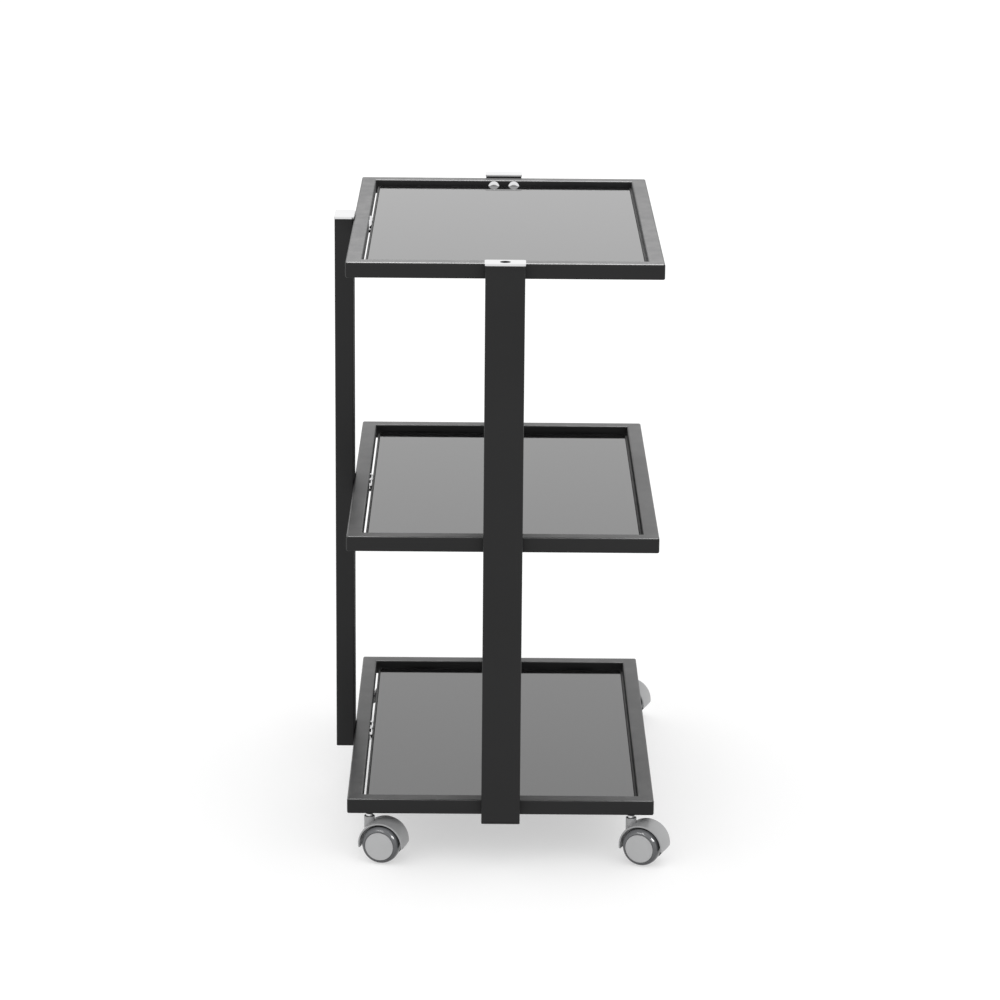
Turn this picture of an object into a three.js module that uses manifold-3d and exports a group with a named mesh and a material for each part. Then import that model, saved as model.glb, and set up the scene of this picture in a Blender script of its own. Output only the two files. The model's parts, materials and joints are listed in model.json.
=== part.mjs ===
// Three-tier service trolley: three welded steel shelf frames with glass shelves, bolted to
// three upright posts and standing on four twin-wheel swivel castors.
// Millimetres. +Z is up, +X is to the right, +Y is to the back, and the front faces -Y.
// The origin is on the floor, at the middle of the whole object's bounding box.

import * as THREE from 'three';
import { mergeVertices } from 'three/addons/utils/BufferGeometryUtils.js';
import Module from 'manifold-3d';

const wasm = await Module();
wasm.setup();

// ---------------------------------------------------------------- driving dimensions

// Shelf frames, mitred and welded from square tube.
const frameWidth = 400;
const frameDepth = 600;
const railSize = 20;
const railWall = 1.5;
const railCorner = 2;

// Tiers: the height of each frame's top face, and how far its glass lies below that face.
const tiers = [
  { name: 'bottom', top: 85, glassDrop: 9.5 },
  { name: 'middle', top: 441, glassDrop: 9.5 },
  { name: 'top', top: 797, glassDrop: 7 },
];

// Glass shelves. The wider gap at the left clears the bolt heads of the left post.
const glassThickness = 5;
const glassGapLeft = 5.8;
const glassGapRight = 3.2;
const glassGapEnds = 6;
const glassCorner = 4;

// Lugs welded inside the two short rails, which carry the glass on thin soft pads.
const lugWidth = 40;
const lugReach = 20;
const lugThickness = 2.5;
const lugCentre = 115;
const padThickness = 1;

// Posts, from rectangular tube, standing against the outside of the rails.
const postWidth = 50;
const postThickness = 25;
const postWall = 1.5;
const postCorner = 2;
const postBottom = 63;
const postTop = 798.3;

// End fittings of the posts: a proud cap plate on top and a flush plug below.
const capOverhang = 1;
const capPlate = 3;
const capInsert = 4.5;
const plugFlange = 1.5;
const plugInsert = 4.5;

// Lamp socket in the front post: the pin bore and the sleeve that guides the pin.
const socketRadius = 6.75;
const sleeveWall = 1.4;
const sleeveLength = 60;

// Bolts M8, two at each crossing of a post and a frame, with nuts welded inside the post.
const boltRadius = 3.9;
const boltSpacing = 28;
const boltHoleRadius = 4.3;
const boltHeadRadius = 8.7;
const boltHeadHeight = 4.2;
const boltSocketRadius = 2.9;
const boltSocketDepth = 2.4;
const boltTipChamfer = 0.8;
const boltTipProud = 2;
const nutRadius = 7;
const nutHeight = 6;

// Castors: twin wheels under one hood, each turning about a stem screwed into an end rail.
// A yaw of nought trails the wheels towards +X.
const stemFromSide = 29;
const stemFromEnd = railSize / 2;
const castorPlaces = [
  { name: 'castor_front_left', signX: -1, signY: -1, yawDegrees: -14.5 },
  { name: 'castor_front_right', signX: 1, signY: -1, yawDegrees: -22 },
  { name: 'castor_back_left', signX: -1, signY: 1, yawDegrees: -17 },
  { name: 'castor_back_right', signX: 1, signY: 1, yawDegrees: -20 },
];
const wheelRadius = 25;
const wheelTrail = 19;
const wheelInnerFace = 6.5;
const wheelOuterFace = 20.8;
const tyreShoulder = 11;
const tyreChamfer = 1.5;
const hubCapRadius = 18.8;
const hubCapFace = 21.5;
const hubCapChamfer = 1;
const axleRadius = 3;
const axleHalfLength = 18.5;
const hoodRadius = 30.4;
const hoodWall = 2.2;
const hoodHalfWidth = 17;
const hoodLeadingTip = THREE.MathUtils.degToRad(12);
const hoodTrailingTip = THREE.MathUtils.degToRad(7);
const webHalfThickness = 6;
const axleBossRadius = 8;
const neckRadius = 7;
const neckTop = 59;
const neckRecessRadius = 5.7;
const stemRadius = 3.95;
const stemBottom = 29;
const stemGrip = 10;
const collarRadius = 4.7;
const collarBottom = 56.8;

// Threaded inserts for the stems, set in the underside of the bottom frame's end rails.
const insertFlangeRadius = 6;
const insertFlange = 2;
const insertRadius = 5.4;
const insertHeight = 12;

// Clearances between neighbouring pieces.
const fitGap = 0.3;
const bearingGap = 0.35;

// How far a cutting tool runs past the face that it cuts through.
const overcut = 1;

// Facets around one turn.
const holeFacets = 12;
const boltHoleFacets = 8;
const boltFacets = 8;
const socketFacets = 16;
const wheelFacets = 20;
const hoodFacets = 12;
const shoulderSteps = 3;

// ---------------------------------------------------------------- finishes

const finishes = {
  powderCoat: { color: 0x2b2b2d, roughness: 0.45, metalness: 0.1 },
  blackGlass: { color: 0x0b0b0c, roughness: 0.04, metalness: 0 },
  chrome: { color: 0xe6e6e8, roughness: 0.12, metalness: 1 },
  zincSteel: { color: 0xb9bcc0, roughness: 0.3, metalness: 1 },
  blackPlastic: { color: 0x1c1c1d, roughness: 0.5, metalness: 0 },
  greyPlastic: { color: 0x9a9b9d, roughness: 0.4, metalness: 0 },
  greyRubber: { color: 0x4e5052, roughness: 0.55, metalness: 0 },
};

// ---------------------------------------------------------------- solids

// Turns closed triangle geometry into a solid whose faces point outwards.
function solidFrom(geometry) {
  const bare = geometry.clone();
  for (const attribute of ['normal', 'uv']) bare.deleteAttribute(attribute);
  const merged = mergeVertices(bare, 1e-4);
  const points = merged.getAttribute('position').array;
  const triangles = Uint32Array.from(merged.getIndex().array);
  const corner = (index) => new THREE.Vector3().fromArray(points, 3 * index);
  let sixVolumes = 0;
  for (let i = 0; i < triangles.length; i += 3) {
    const [a, b, c] = [0, 1, 2].map((k) => corner(triangles[i + k]));
    sixVolumes += a.dot(b.cross(c));
  }
  if (sixVolumes < 0) {
    for (let i = 0; i < triangles.length; i += 3) {
      const second = triangles[i + 1];
      triangles[i + 1] = triangles[i + 2];
      triangles[i + 2] = second;
    }
  }
  const vertices = Float32Array.from(points);
  return new wasm.Manifold(new wasm.Mesh({ numProp: 3, vertProperties: vertices, triVerts: triangles }));
}

// Turns a finished solid into a named mesh.
function meshFrom(name, solid, finish) {
  const cut = solid.getMesh();
  const geometry = new THREE.BufferGeometry();
  geometry.setAttribute('position', new THREE.BufferAttribute(Float32Array.from(cut.vertProperties), 3));
  geometry.setIndex(new THREE.BufferAttribute(Uint32Array.from(cut.triVerts), 1));
  geometry.computeVertexNormals();
  const mesh = new THREE.Mesh(geometry, new THREE.MeshStandardMaterial(finish));
  mesh.name = name;
  return mesh;
}

function block(lengths, centre) {
  return solidFrom(new THREE.BoxGeometry(...lengths).translate(...centre));
}

// A cylinder along Y, from one Y to another, with a facet facing straight up.
function rodAlongY(radius, fromY, toY, x, z, facets) {
  const rod = new THREE.CylinderGeometry(radius, radius, toY - fromY, facets);
  rod.rotateY(Math.PI / facets);
  return solidFrom(rod.translate(x, (fromY + toY) / 2, z));
}

// A cylinder along Z, from one height to another.
function rodAlongZ(radius, fromZ, toZ, x, y, facets) {
  const rod = new THREE.CylinderGeometry(radius, radius, toZ - fromZ, facets);
  rod.rotateX(Math.PI / 2);
  return solidFrom(rod.translate(x, y, (fromZ + toZ) / 2));
}

function roundedRectangle(width, height, radius) {
  const [x, y] = [width / 2 - radius, height / 2 - radius];
  const shape = new THREE.Shape();
  shape.absarc(x, y, radius, 0, Math.PI / 2);
  shape.absarc(-x, y, radius, Math.PI / 2, Math.PI);
  shape.absarc(-x, -y, radius, Math.PI, 1.5 * Math.PI);
  shape.absarc(x, -y, radius, 1.5 * Math.PI, 2 * Math.PI);
  shape.closePath();
  return shape;
}

// A shape in plan, extruded upwards from one height to another.
function extrudeUp(shape, fromZ, toZ, curveSegments) {
  const options = { depth: toZ - fromZ, bevelEnabled: false, curveSegments };
  return solidFrom(new THREE.ExtrudeGeometry(shape, options).translate(0, 0, fromZ));
}

// A shape in the XZ plane, extruded along Y to both sides of the middle.
function extrudeSideways(shape, halfWidth, curveSegments) {
  const options = { depth: 2 * halfWidth, bevelEnabled: false, curveSegments };
  const slab = new THREE.ExtrudeGeometry(shape, options).translate(0, 0, -halfWidth);
  return solidFrom(slab.rotateX(Math.PI / 2));
}

// A profile of [radius, y] points, turned about the Y axis with a facet facing straight up.
function turnAboutY(profile, facets) {
  const points = profile.map(([radius, y]) => new THREE.Vector2(radius, y));
  return solidFrom(new THREE.LatheGeometry(points, facets, Math.PI / facets));
}

// ---------------------------------------------------------------- shelf frames and glass

// A square tube section swept round a rectangle with mitred corners.
function mitredLoop(size, corner, middleZ) {
  const section = roundedRectangle(size, size, corner).getPoints(2).slice(0, -1);
  const [halfX, halfY] = [(frameWidth - railSize) / 2, (frameDepth - railSize) / 2];
  const signs = [[1, 1], [-1, 1], [-1, -1], [1, -1]];
  const positions = [];
  const triangles = [];
  for (const [signX, signY] of signs) {
    for (const point of section) {
      positions.push(signX * (halfX + point.x), signY * (halfY + point.x), middleZ + point.y);
    }
  }
  const count = section.length;
  for (let side = 0; side < 4; side += 1) {
    for (let i = 0; i < count; i += 1) {
      const [here, next] = [side * count, ((side + 1) % 4) * count];
      const after = (i + 1) % count;
      triangles.push(here + i, here + after, next + i);
      triangles.push(here + after, next + after, next + i);
    }
  }
  const geometry = new THREE.BufferGeometry();
  geometry.setAttribute('position', new THREE.BufferAttribute(Float32Array.from(positions), 3));
  geometry.setIndex(triangles);
  return solidFrom(geometry);
}

function glassTop(tier) {
  return tier.top - tier.glassDrop;
}

// The two lugs on the front rail and the two on the back rail.
function addLugs(frame, tier) {
  const topOfLug = glassTop(tier) - glassThickness - padThickness - fitGap;
  const embed = railWall / 2;
  const innerY = frameDepth / 2 - railSize;
  let result = frame;
  for (const signX of [-1, 1]) {
    for (const signY of [-1, 1]) {
      const centreY = signY * (innerY - (lugReach - embed) / 2);
      const centre = [signX * lugCentre, centreY, topOfLug - lugThickness / 2];
      result = result.add(block([lugWidth, lugReach + embed, lugThickness], centre));
    }
  }
  return result;
}

// A flanged screw insert for each castor in the bottom frame's end rails.
function addStemInserts(frame, tier) {
  const underside = tier.top - railSize;
  let result = frame;
  for (const place of castorPlaces) {
    const [x, y] = stemPlace(place);
    const flangeTop = underside + railWall / 2;
    const flange = rodAlongZ(insertFlangeRadius, underside - insertFlange, flangeTop, x, y, holeFacets);
    const sleeve = rodAlongZ(insertRadius, underside, underside + insertHeight, x, y, holeFacets);
    const [drillFrom, drillTo] = [underside - insertFlange - overcut, underside + insertHeight + overcut];
    const drill = rodAlongZ(stemRadius + bearingGap, drillFrom, drillTo, x, y, holeFacets);
    result = result.add(flange).add(sleeve).subtract(drill);
  }
  return result;
}

function shelfFrame(tier) {
  const middleZ = tier.top - railSize / 2;
  const hollow = mitredLoop(railSize - 2 * railWall, railCorner / 4, middleZ);
  let frame = mitredLoop(railSize, railCorner, middleZ).subtract(hollow);
  frame = addLugs(frame, tier);
  if (tier.name === 'bottom') frame = addStemInserts(frame, tier);
  for (const side of postSides) {
    for (const offset of [-boltSpacing / 2, boltSpacing / 2]) {
      const length = railSize + 2 * overcut;
      const drill = new THREE.CylinderGeometry(boltHoleRadius, boltHoleRadius, length, boltHoleFacets);
      drill.translate(offset, side.railInnerFace - railSize / 2, 0);
      drill.rotateZ(side.turn);
      frame = frame.subtract(solidFrom(drill.translate(0, 0, middleZ)));
    }
  }
  return meshFrom(`${tier.name}_frame`, frame, finishes.powderCoat);
}

function glassShelf(tier) {
  const innerWidth = frameWidth - 2 * railSize;
  const width = innerWidth - glassGapLeft - glassGapRight;
  const depth = frameDepth - 2 * railSize - 2 * glassGapEnds;
  const outline = roundedRectangle(width, depth, glassCorner);
  const sheet = extrudeUp(outline, glassTop(tier) - glassThickness, glassTop(tier), 3);
  const mesh = meshFrom(`${tier.name}_glass`, sheet, finishes.blackGlass);
  mesh.position.x = (glassGapLeft - glassGapRight) / 2;
  return mesh;
}

// ---------------------------------------------------------------- posts, caps, plugs and bolts

// Each post is drawn with the frame on its +Y side and then turned about Z to its own side.
const postSides = [
  { name: 'front', turn: 0, railInnerFace: -frameDepth / 2 + railSize },
  { name: 'back', turn: Math.PI, railInnerFace: -frameDepth / 2 + railSize },
  { name: 'left', turn: -Math.PI / 2, railInnerFace: -frameWidth / 2 + railSize },
];

const boltHeights = tiers.map((tier) => tier.top - railSize / 2);
const railNear = postThickness / 2 + fitGap;
const railFar = railNear + railSize;

// Calls back with the place of each of one post's bolts.
function eachBolt(callback) {
  tiers.forEach((tier, index) => {
    callback(-boltSpacing / 2, boltHeights[index], `${tier.name}_1`);
    callback(boltSpacing / 2, boltHeights[index], `${tier.name}_2`);
  });
}

function postTube(side) {
  const outline = roundedRectangle(postWidth, postThickness, postCorner);
  const inside = roundedRectangle(postWidth - 2 * postWall, postThickness - 2 * postWall, postCorner / 4);
  const hollow = extrudeUp(inside, postBottom - overcut, postTop + overcut, 1);
  let post = extrudeUp(outline, postBottom, postTop, 2).subtract(hollow);
  const innerWall = postThickness / 2 - postWall;
  eachBolt((x, z) => {
    const nut = rodAlongY(nutRadius, innerWall - nutHeight, innerWall + postWall / 2, x, z, 6);
    post = post.add(nut);
  });
  eachBolt((x, z) => {
    const drillFrom = innerWall - nutHeight - overcut;
    const drill = rodAlongY(boltHoleRadius, drillFrom, postThickness, x, z, boltHoleFacets);
    post = post.subtract(drill);
  });
  return meshFrom(`${side.name}_post`, post, finishes.powderCoat);
}

function insertShape() {
  const shrink = 2 * (postWall + fitGap);
  return roundedRectangle(postWidth - shrink, postThickness - shrink, postCorner / 2);
}

function postCap(side) {
  const plateBottom = postTop + fitGap;
  const plateShape = roundedRectangle(
    postWidth + 2 * capOverhang, postThickness + 2 * capOverhang, postCorner + capOverhang);
  const plate = extrudeUp(plateShape, plateBottom, plateBottom + capPlate, 2);
  const insert = extrudeUp(insertShape(), plateBottom - capInsert, plateBottom + capPlate / 2, 1);
  let cap = plate.add(insert);
  if (side.name === 'front') {
    const sleeveRadius = socketRadius + sleeveWall + fitGap;
    const pocketBottom = plateBottom - capInsert - overcut;
    const boreTop = plateBottom + capPlate + overcut;
    const pocket = rodAlongZ(sleeveRadius, pocketBottom, plateBottom, 0, 0, socketFacets);
    const bore = rodAlongZ(socketRadius, plateBottom - overcut, boreTop, 0, 0, socketFacets);
    cap = cap.subtract(pocket).subtract(bore);
  }
  return meshFrom(`${side.name}_post_cap`, cap, finishes.chrome);
}

function postPlug(side) {
  const flangeTop = postBottom - fitGap;
  const flange = extrudeUp(
    roundedRectangle(postWidth, postThickness, postCorner), flangeTop - plugFlange, flangeTop, 2);
  const insert = extrudeUp(insertShape(), flangeTop - plugFlange / 2, flangeTop + plugInsert, 1);
  return meshFrom(`${side.name}_post_plug`, flange.add(insert), finishes.blackPlastic);
}

function lampSleeve() {
  const top = postTop;
  const tube = rodAlongZ(socketRadius + sleeveWall, top - sleeveLength, top, 0, 0, socketFacets);
  const [boreBottom, boreTop] = [top - sleeveLength - overcut, top + overcut];
  const bore = rodAlongZ(socketRadius, boreBottom, boreTop, 0, 0, socketFacets);
  return meshFrom('lamp_socket_sleeve', tube.subtract(bore), finishes.zincSteel);
}

// A domed M8 bolt with its head against the rail and its thread in the post's nut.
function frameBolt(name, x, z) {
  const seat = railFar + fitGap;
  const tip = postThickness / 2 - postWall - nutHeight - boltTipProud;
  const crown = seat + boltHeadHeight;
  const profile = [
    [0, tip],
    [boltRadius - boltTipChamfer, tip],
    [boltRadius, tip + boltTipChamfer],
    [boltRadius, seat],
    [boltHeadRadius, seat],
    [boltHeadRadius, seat + 0.2 * boltHeadHeight],
    [0.7 * boltHeadRadius, seat + 0.8 * boltHeadHeight],
    [0, crown],
  ];
  const key = rodAlongY(boltSocketRadius, crown - boltSocketDepth, crown + overcut, 0, 0, 6);
  const mesh = meshFrom(name, turnAboutY(profile, boltFacets).subtract(key), finishes.chrome);
  mesh.position.set(x, 0, z);
  return mesh;
}

function postGroup(side) {
  const group = new THREE.Group();
  group.add(postTube(side), postCap(side), postPlug(side));
  if (side.name === 'front') group.add(lampSleeve());
  eachBolt((x, z, place) => group.add(frameBolt(`bolt_${side.name}_post_${place}`, x, z)));
  const outward = side.railInnerFace - railSize - railNear;
  group.position.set(-outward * Math.sin(side.turn), outward * Math.cos(side.turn), 0);
  group.rotation.z = side.turn;
  return group;
}

// ---------------------------------------------------------------- castors

function stemPlace(place) {
  return [place.signX * (frameWidth / 2 - stemFromSide), place.signY * (frameDepth / 2 - stemFromEnd)];
}

// The hood's wall in the XZ plane: an arc about the wheel centre that reaches further down behind.
function hoodWallShape(outer, inner) {
  const [fromAngle, toAngle] = [-hoodTrailingTip, Math.PI + hoodLeadingTip];
  const shape = new THREE.Shape();
  shape.absarc(wheelTrail, wheelRadius, outer, fromAngle, toAngle);
  shape.absarc(wheelTrail, wheelRadius, inner, toAngle, fromAngle, true);
  shape.closePath();
  return shape;
}

// The web between the wheels: a half disc that ends inside the hood's wall.
function webShape(radius) {
  const shape = new THREE.Shape();
  shape.absarc(wheelTrail, wheelRadius, radius, 0, Math.PI);
  shape.closePath();
  return shape;
}

// The moulded housing: hood over both wheels, web between them, and the neck round the stem.
function castorHousing(name) {
  const innerRadius = hoodRadius - hoodWall;
  const [centreX, centreZ] = [wheelTrail, wheelRadius];
  const spaceHalf = hoodHalfWidth + overcut;
  const wheelSpace = rodAlongY(innerRadius, -spaceHalf, spaceHalf, centreX, centreZ, 2 * hoodFacets);
  const neck = rodAlongZ(neckRadius, stemBottom, neckTop, 0, 0, holeFacets);
  const hood = extrudeSideways(hoodWallShape(hoodRadius, innerRadius), hoodHalfWidth, hoodFacets);
  const web = extrudeSideways(webShape(innerRadius + hoodWall / 2), webHalfThickness, hoodFacets);
  const [bossSide, holeSide] = [webHalfThickness, hoodHalfWidth];
  const axleBoss = rodAlongY(axleBossRadius, -bossSide, bossSide, centreX, centreZ, holeFacets);
  const axleHole = rodAlongY(axleRadius + fitGap, -holeSide, holeSide, centreX, centreZ, holeFacets);
  const stemHole = rodAlongZ(stemRadius + bearingGap, stemBottom - overcut, neckTop, 0, 0, holeFacets);
  const recessBottom = collarBottom - bearingGap;
  const recess = rodAlongZ(neckRecessRadius, recessBottom, neckTop + overcut, 0, 0, holeFacets);
  const shell = neck.subtract(wheelSpace).add(hood);
  const body = shell.add(web).add(axleBoss);
  const housing = body.subtract(axleHole).subtract(stemHole).subtract(recess);
  return meshFrom(`${name}_housing`, housing, finishes.greyPlastic);
}

function castorAxle(name) {
  const axle = rodAlongY(axleRadius, -axleHalfLength, axleHalfLength, wheelTrail, wheelRadius, holeFacets);
  return meshFrom(`${name}_axle`, axle, finishes.zincSteel);
}

// A tyre with a round shoulder, its core and its hub cap, with a blind bore on the inner side.
// The facets are drawn so that their flats lie at the wheel's radius.
function castorWheel(name, place, mirror) {
  const flatToCorner = 1 / Math.cos(Math.PI / wheelFacets);
  const rolling = wheelRadius * flatToCorner;
  const boreEnd = axleHalfLength + bearingGap;
  const [crownHeight, crownWidth] = [rolling - hubCapRadius, wheelOuterFace - tyreShoulder];
  const shoulder = [];
  for (let step = 0; step <= shoulderSteps; step += 1) {
    const angle = (step / shoulderSteps) * (Math.PI / 2);
    const radius = hubCapRadius + crownHeight * Math.cos(angle);
    shoulder.push([radius, tyreShoulder + crownWidth * Math.sin(angle)]);
  }
  const profile = [
    [0, boreEnd],
    [axleRadius + bearingGap, boreEnd],
    [axleRadius + bearingGap, wheelInnerFace],
    [rolling - tyreChamfer, wheelInnerFace],
    [rolling, wheelInnerFace + tyreChamfer],
    ...shoulder,
    [hubCapRadius - hubCapChamfer, hubCapFace],
    [0, hubCapFace],
  ];
  const turned = profile.map(([radius, y]) => [radius, mirror * y]);
  const wheel = meshFrom(`${name}_wheel_${place}`, turnAboutY(turned, wheelFacets), finishes.greyRubber);
  wheel.position.set(wheelTrail, 0, wheelRadius);
  return wheel;
}

// The screwed stem, with the round collar that seats against the rail's insert.
function castorStem(name) {
  const underside = tiers[0].top - railSize;
  const collarTop = underside - insertFlange - fitGap;
  const pin = rodAlongZ(stemRadius, stemBottom, underside + stemGrip, 0, 0, holeFacets);
  const collar = rodAlongZ(collarRadius, collarBottom, collarTop, 0, 0, holeFacets);
  return meshFrom(`${name}_stem`, pin.add(collar), finishes.chrome);
}

function castorGroup(place) {
  const name = place.name;
  const group = new THREE.Group();
  group.add(castorStem(name), castorHousing(name), castorAxle(name));
  group.add(castorWheel(name, 'near', -1), castorWheel(name, 'far', 1));
  const [x, y] = stemPlace(place);
  group.position.set(x, y, 0);
  group.rotation.z = THREE.MathUtils.degToRad(place.yawDegrees);
  return group;
}

// ---------------------------------------------------------------- whole trolley

const trolley = new THREE.Group();
for (const tier of tiers) trolley.add(shelfFrame(tier), glassShelf(tier));
for (const side of postSides) trolley.add(postGroup(side));
for (const place of castorPlaces) trolley.add(castorGroup(place));

// Moves the origin to the floor, below the middle of the bounding box.
trolley.updateMatrixWorld(true);
const bounds = new THREE.Box3().setFromObject(trolley, true);
const middle = bounds.getCenter(new THREE.Vector3());
trolley.position.set(-middle.x, -middle.y, -bounds.min.z);
trolley.updateMatrixWorld(true);

export default trolley;
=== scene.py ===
import json
import math

import bmesh
import bpy
from bpy.props import FloatProperty, FloatVectorProperty, IntProperty, PointerProperty
from mathutils import Matrix, Vector


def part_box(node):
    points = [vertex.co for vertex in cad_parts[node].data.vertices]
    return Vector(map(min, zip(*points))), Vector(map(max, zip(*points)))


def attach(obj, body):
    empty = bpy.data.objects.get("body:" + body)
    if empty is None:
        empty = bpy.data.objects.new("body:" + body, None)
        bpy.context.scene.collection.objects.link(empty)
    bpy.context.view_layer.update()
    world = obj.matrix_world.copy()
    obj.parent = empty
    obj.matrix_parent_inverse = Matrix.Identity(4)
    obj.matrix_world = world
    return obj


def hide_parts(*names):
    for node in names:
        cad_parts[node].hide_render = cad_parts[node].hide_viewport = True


bl_info = {
    "name": "Service Trolley Builder",
    "version": (1, 0, 0),
    "blender": (4, 5, 0),
    "location": "3D View > Sidebar > Trolley",
    "description": "Builds a three-tier steel and glass service trolley round its frame",
    "category": "Object",
}

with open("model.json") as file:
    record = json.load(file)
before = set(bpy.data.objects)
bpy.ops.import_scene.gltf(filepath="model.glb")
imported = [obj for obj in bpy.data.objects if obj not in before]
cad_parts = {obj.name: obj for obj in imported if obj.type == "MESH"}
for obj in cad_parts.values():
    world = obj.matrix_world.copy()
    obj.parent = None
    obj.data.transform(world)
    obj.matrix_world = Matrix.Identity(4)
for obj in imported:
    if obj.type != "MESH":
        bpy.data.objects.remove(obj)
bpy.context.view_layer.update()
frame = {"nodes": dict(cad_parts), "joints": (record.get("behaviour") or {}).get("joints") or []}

MM = 0.001
UP = Vector((0, 0, 1))
TIERS = ("bottom", "middle", "top")
INWARD = {"front": Vector((0, 1, 0)), "back": Vector((0, -1, 0)), "left": Vector((1, 0, 0))}
CASTORS = ("castor_front_left", "castor_front_right", "castor_back_left", "castor_back_right")
JOINTS = {joint["name"]: joint for joint in frame["joints"]}


def box_size(node):
    """The lengths of a CAD node along X, Y and Z."""
    low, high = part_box(node)
    return high - low


def box_centre(node):
    low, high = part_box(node)
    return (low + high) / 2


RAIL_SIZE = box_size("middle_frame").z
GLASS_THICKNESS = box_size("top_glass").z
WHEEL_RADIUS = JOINTS["castor_front_left_wheel_near_roll"]["pos_m"][2]
AXLE_RADIUS = box_size("castor_front_left_axle").z / 2

EDGE_BREAK = 0.3 * MM
LOOSE_FIT = 0.3 * MM
MERGE_DISTANCE = 0.001 * MM
SHARP_ANGLE = math.radians(35)


# ---------------------------------------------------------------- settings

def length(name, description, default):
    """A size in metres that a user may change."""
    return FloatProperty(
        name=name, description=description, default=default, min=0.0, precision=5,
        subtype="DISTANCE", unit="LENGTH")


def turn(name, description, degrees):
    """An angle, given in degrees and kept in radians."""
    return FloatProperty(
        name=name, description=description, default=math.radians(degrees),
        subtype="ANGLE", unit="ROTATION")


def share(name, description, default):
    """A plain number from 0 to 1."""
    return FloatProperty(
        name=name, description=description, default=default, min=0.0, max=1.0,
        subtype="FACTOR")


def watts(name, description, default):
    """The power of a light."""
    return FloatProperty(
        name=name, description=description, default=default, min=0.0, unit="POWER")


def colour(name, description, default):
    return FloatVectorProperty(
        name=name, description=description, default=default, size=3, min=0.0, max=1.0,
        subtype="COLOR")


class FrameSettings(bpy.types.PropertyGroup):
    """Sizes of the shelf frames."""
    rail: length("Rail", "Outer size of the square tube", RAIL_SIZE)
    wall: length("Wall", "Wall thickness of the square tube", 1.5 * MM)
    corner: length("Tube corner", "Outer corner radius of the tube's section", 2.2 * MM)
    outer_corner: length("Ground corner", "Radius ground on the four outer corners", 2.6 * MM)
    lug_width: length("Lug width", "Width of a glass lug", 40 * MM)
    lug_reach: length("Lug reach", "How far a lug stands in from the rail", 20 * MM)
    lug_thickness: length("Lug thickness", "Plate thickness of a lug", 2.5 * MM)
    lug_centre: length("Lug centre", "Distance of each lug from the middle of its rail", 115 * MM)
    pad_gap: length("Pad gap", "Height of the soft pads between lug and glass", 1.3 * MM)
    pad_radius: length("Pad radius", "Radius of a soft pad", 5 * MM)
    weld_radius: length("Weld bead", "Radius of one ripple of a weld bead", 1.5 * MM)
    weld_pitch: length("Weld pitch", "Distance from ripple to ripple", 1.3 * MM)
    insert_radius: length("Insert flange", "Radius of a screw insert's flange", 6 * MM)
    insert_flange: length("Insert flange height", "How far the flange is below the rail", 2 * MM)
    insert_bore: length("Insert bore", "Radius of the screw insert's bore", 4.3 * MM)


class GlassSettings(bpy.types.PropertyGroup):
    """Sizes of the glass shelves."""
    thickness: length("Thickness", "Thickness of the glass", GLASS_THICKNESS)
    corner: length("Corner", "Radius of the glass corners in plan", 4 * MM)
    # Painted shade: these two strips beside each glass are black fillers that make the edge gaps
    # read dark.
    shade_strip_drop: length("Cushion drop", "How far the edge cushion lies below the glass", 1.4 * MM)
    bead: length("Edge bead", "Width of the rubber bead on the left edge", 2.6 * MM)
    arris: length("Arris", "Width of the ground arris along each edge", 0.9 * MM)


class PostSettings(bpy.types.PropertyGroup):
    """Sizes of the posts, their end fittings and their bolts."""
    corner: length("Tube corner", "Outer corner radius of the tube's section", 2 * MM)
    wall: length("Wall", "Wall thickness of the tube", 1.5 * MM)
    cap_plate: length("Cap plate", "Thickness of the plate on top of a post", 3 * MM)
    cap_round: length("Cap edge", "Radius of the plate's upper edge", 0.8 * MM)
    socket_radius: length("Lamp socket", "Radius of the lamp socket", 6.75 * MM)
    socket_wall: length("Socket wall", "Wall thickness of the lamp socket's sleeve", 1.4 * MM)
    plug_flange: length("Plug flange", "Thickness of a plug's flange", 1.5 * MM)
    head_radius: length("Bolt head", "Radius of a bolt's domed head", 8.7 * MM)
    head_height: length("Bolt head height", "Height of a bolt's domed head", 4.2 * MM)
    key_size: length("Key size", "Half the width across flats of the hexagon socket", 2.5 * MM)
    key_depth: length("Key depth", "Depth of the hexagon socket", 2.4 * MM)
    shank_radius: length("Shank", "Radius of a bolt's shank", 3.9 * MM)
    turn_seed: IntProperty(
        name="Turn seed", description="Seed for how far each bolt is turned", default=7)


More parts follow.
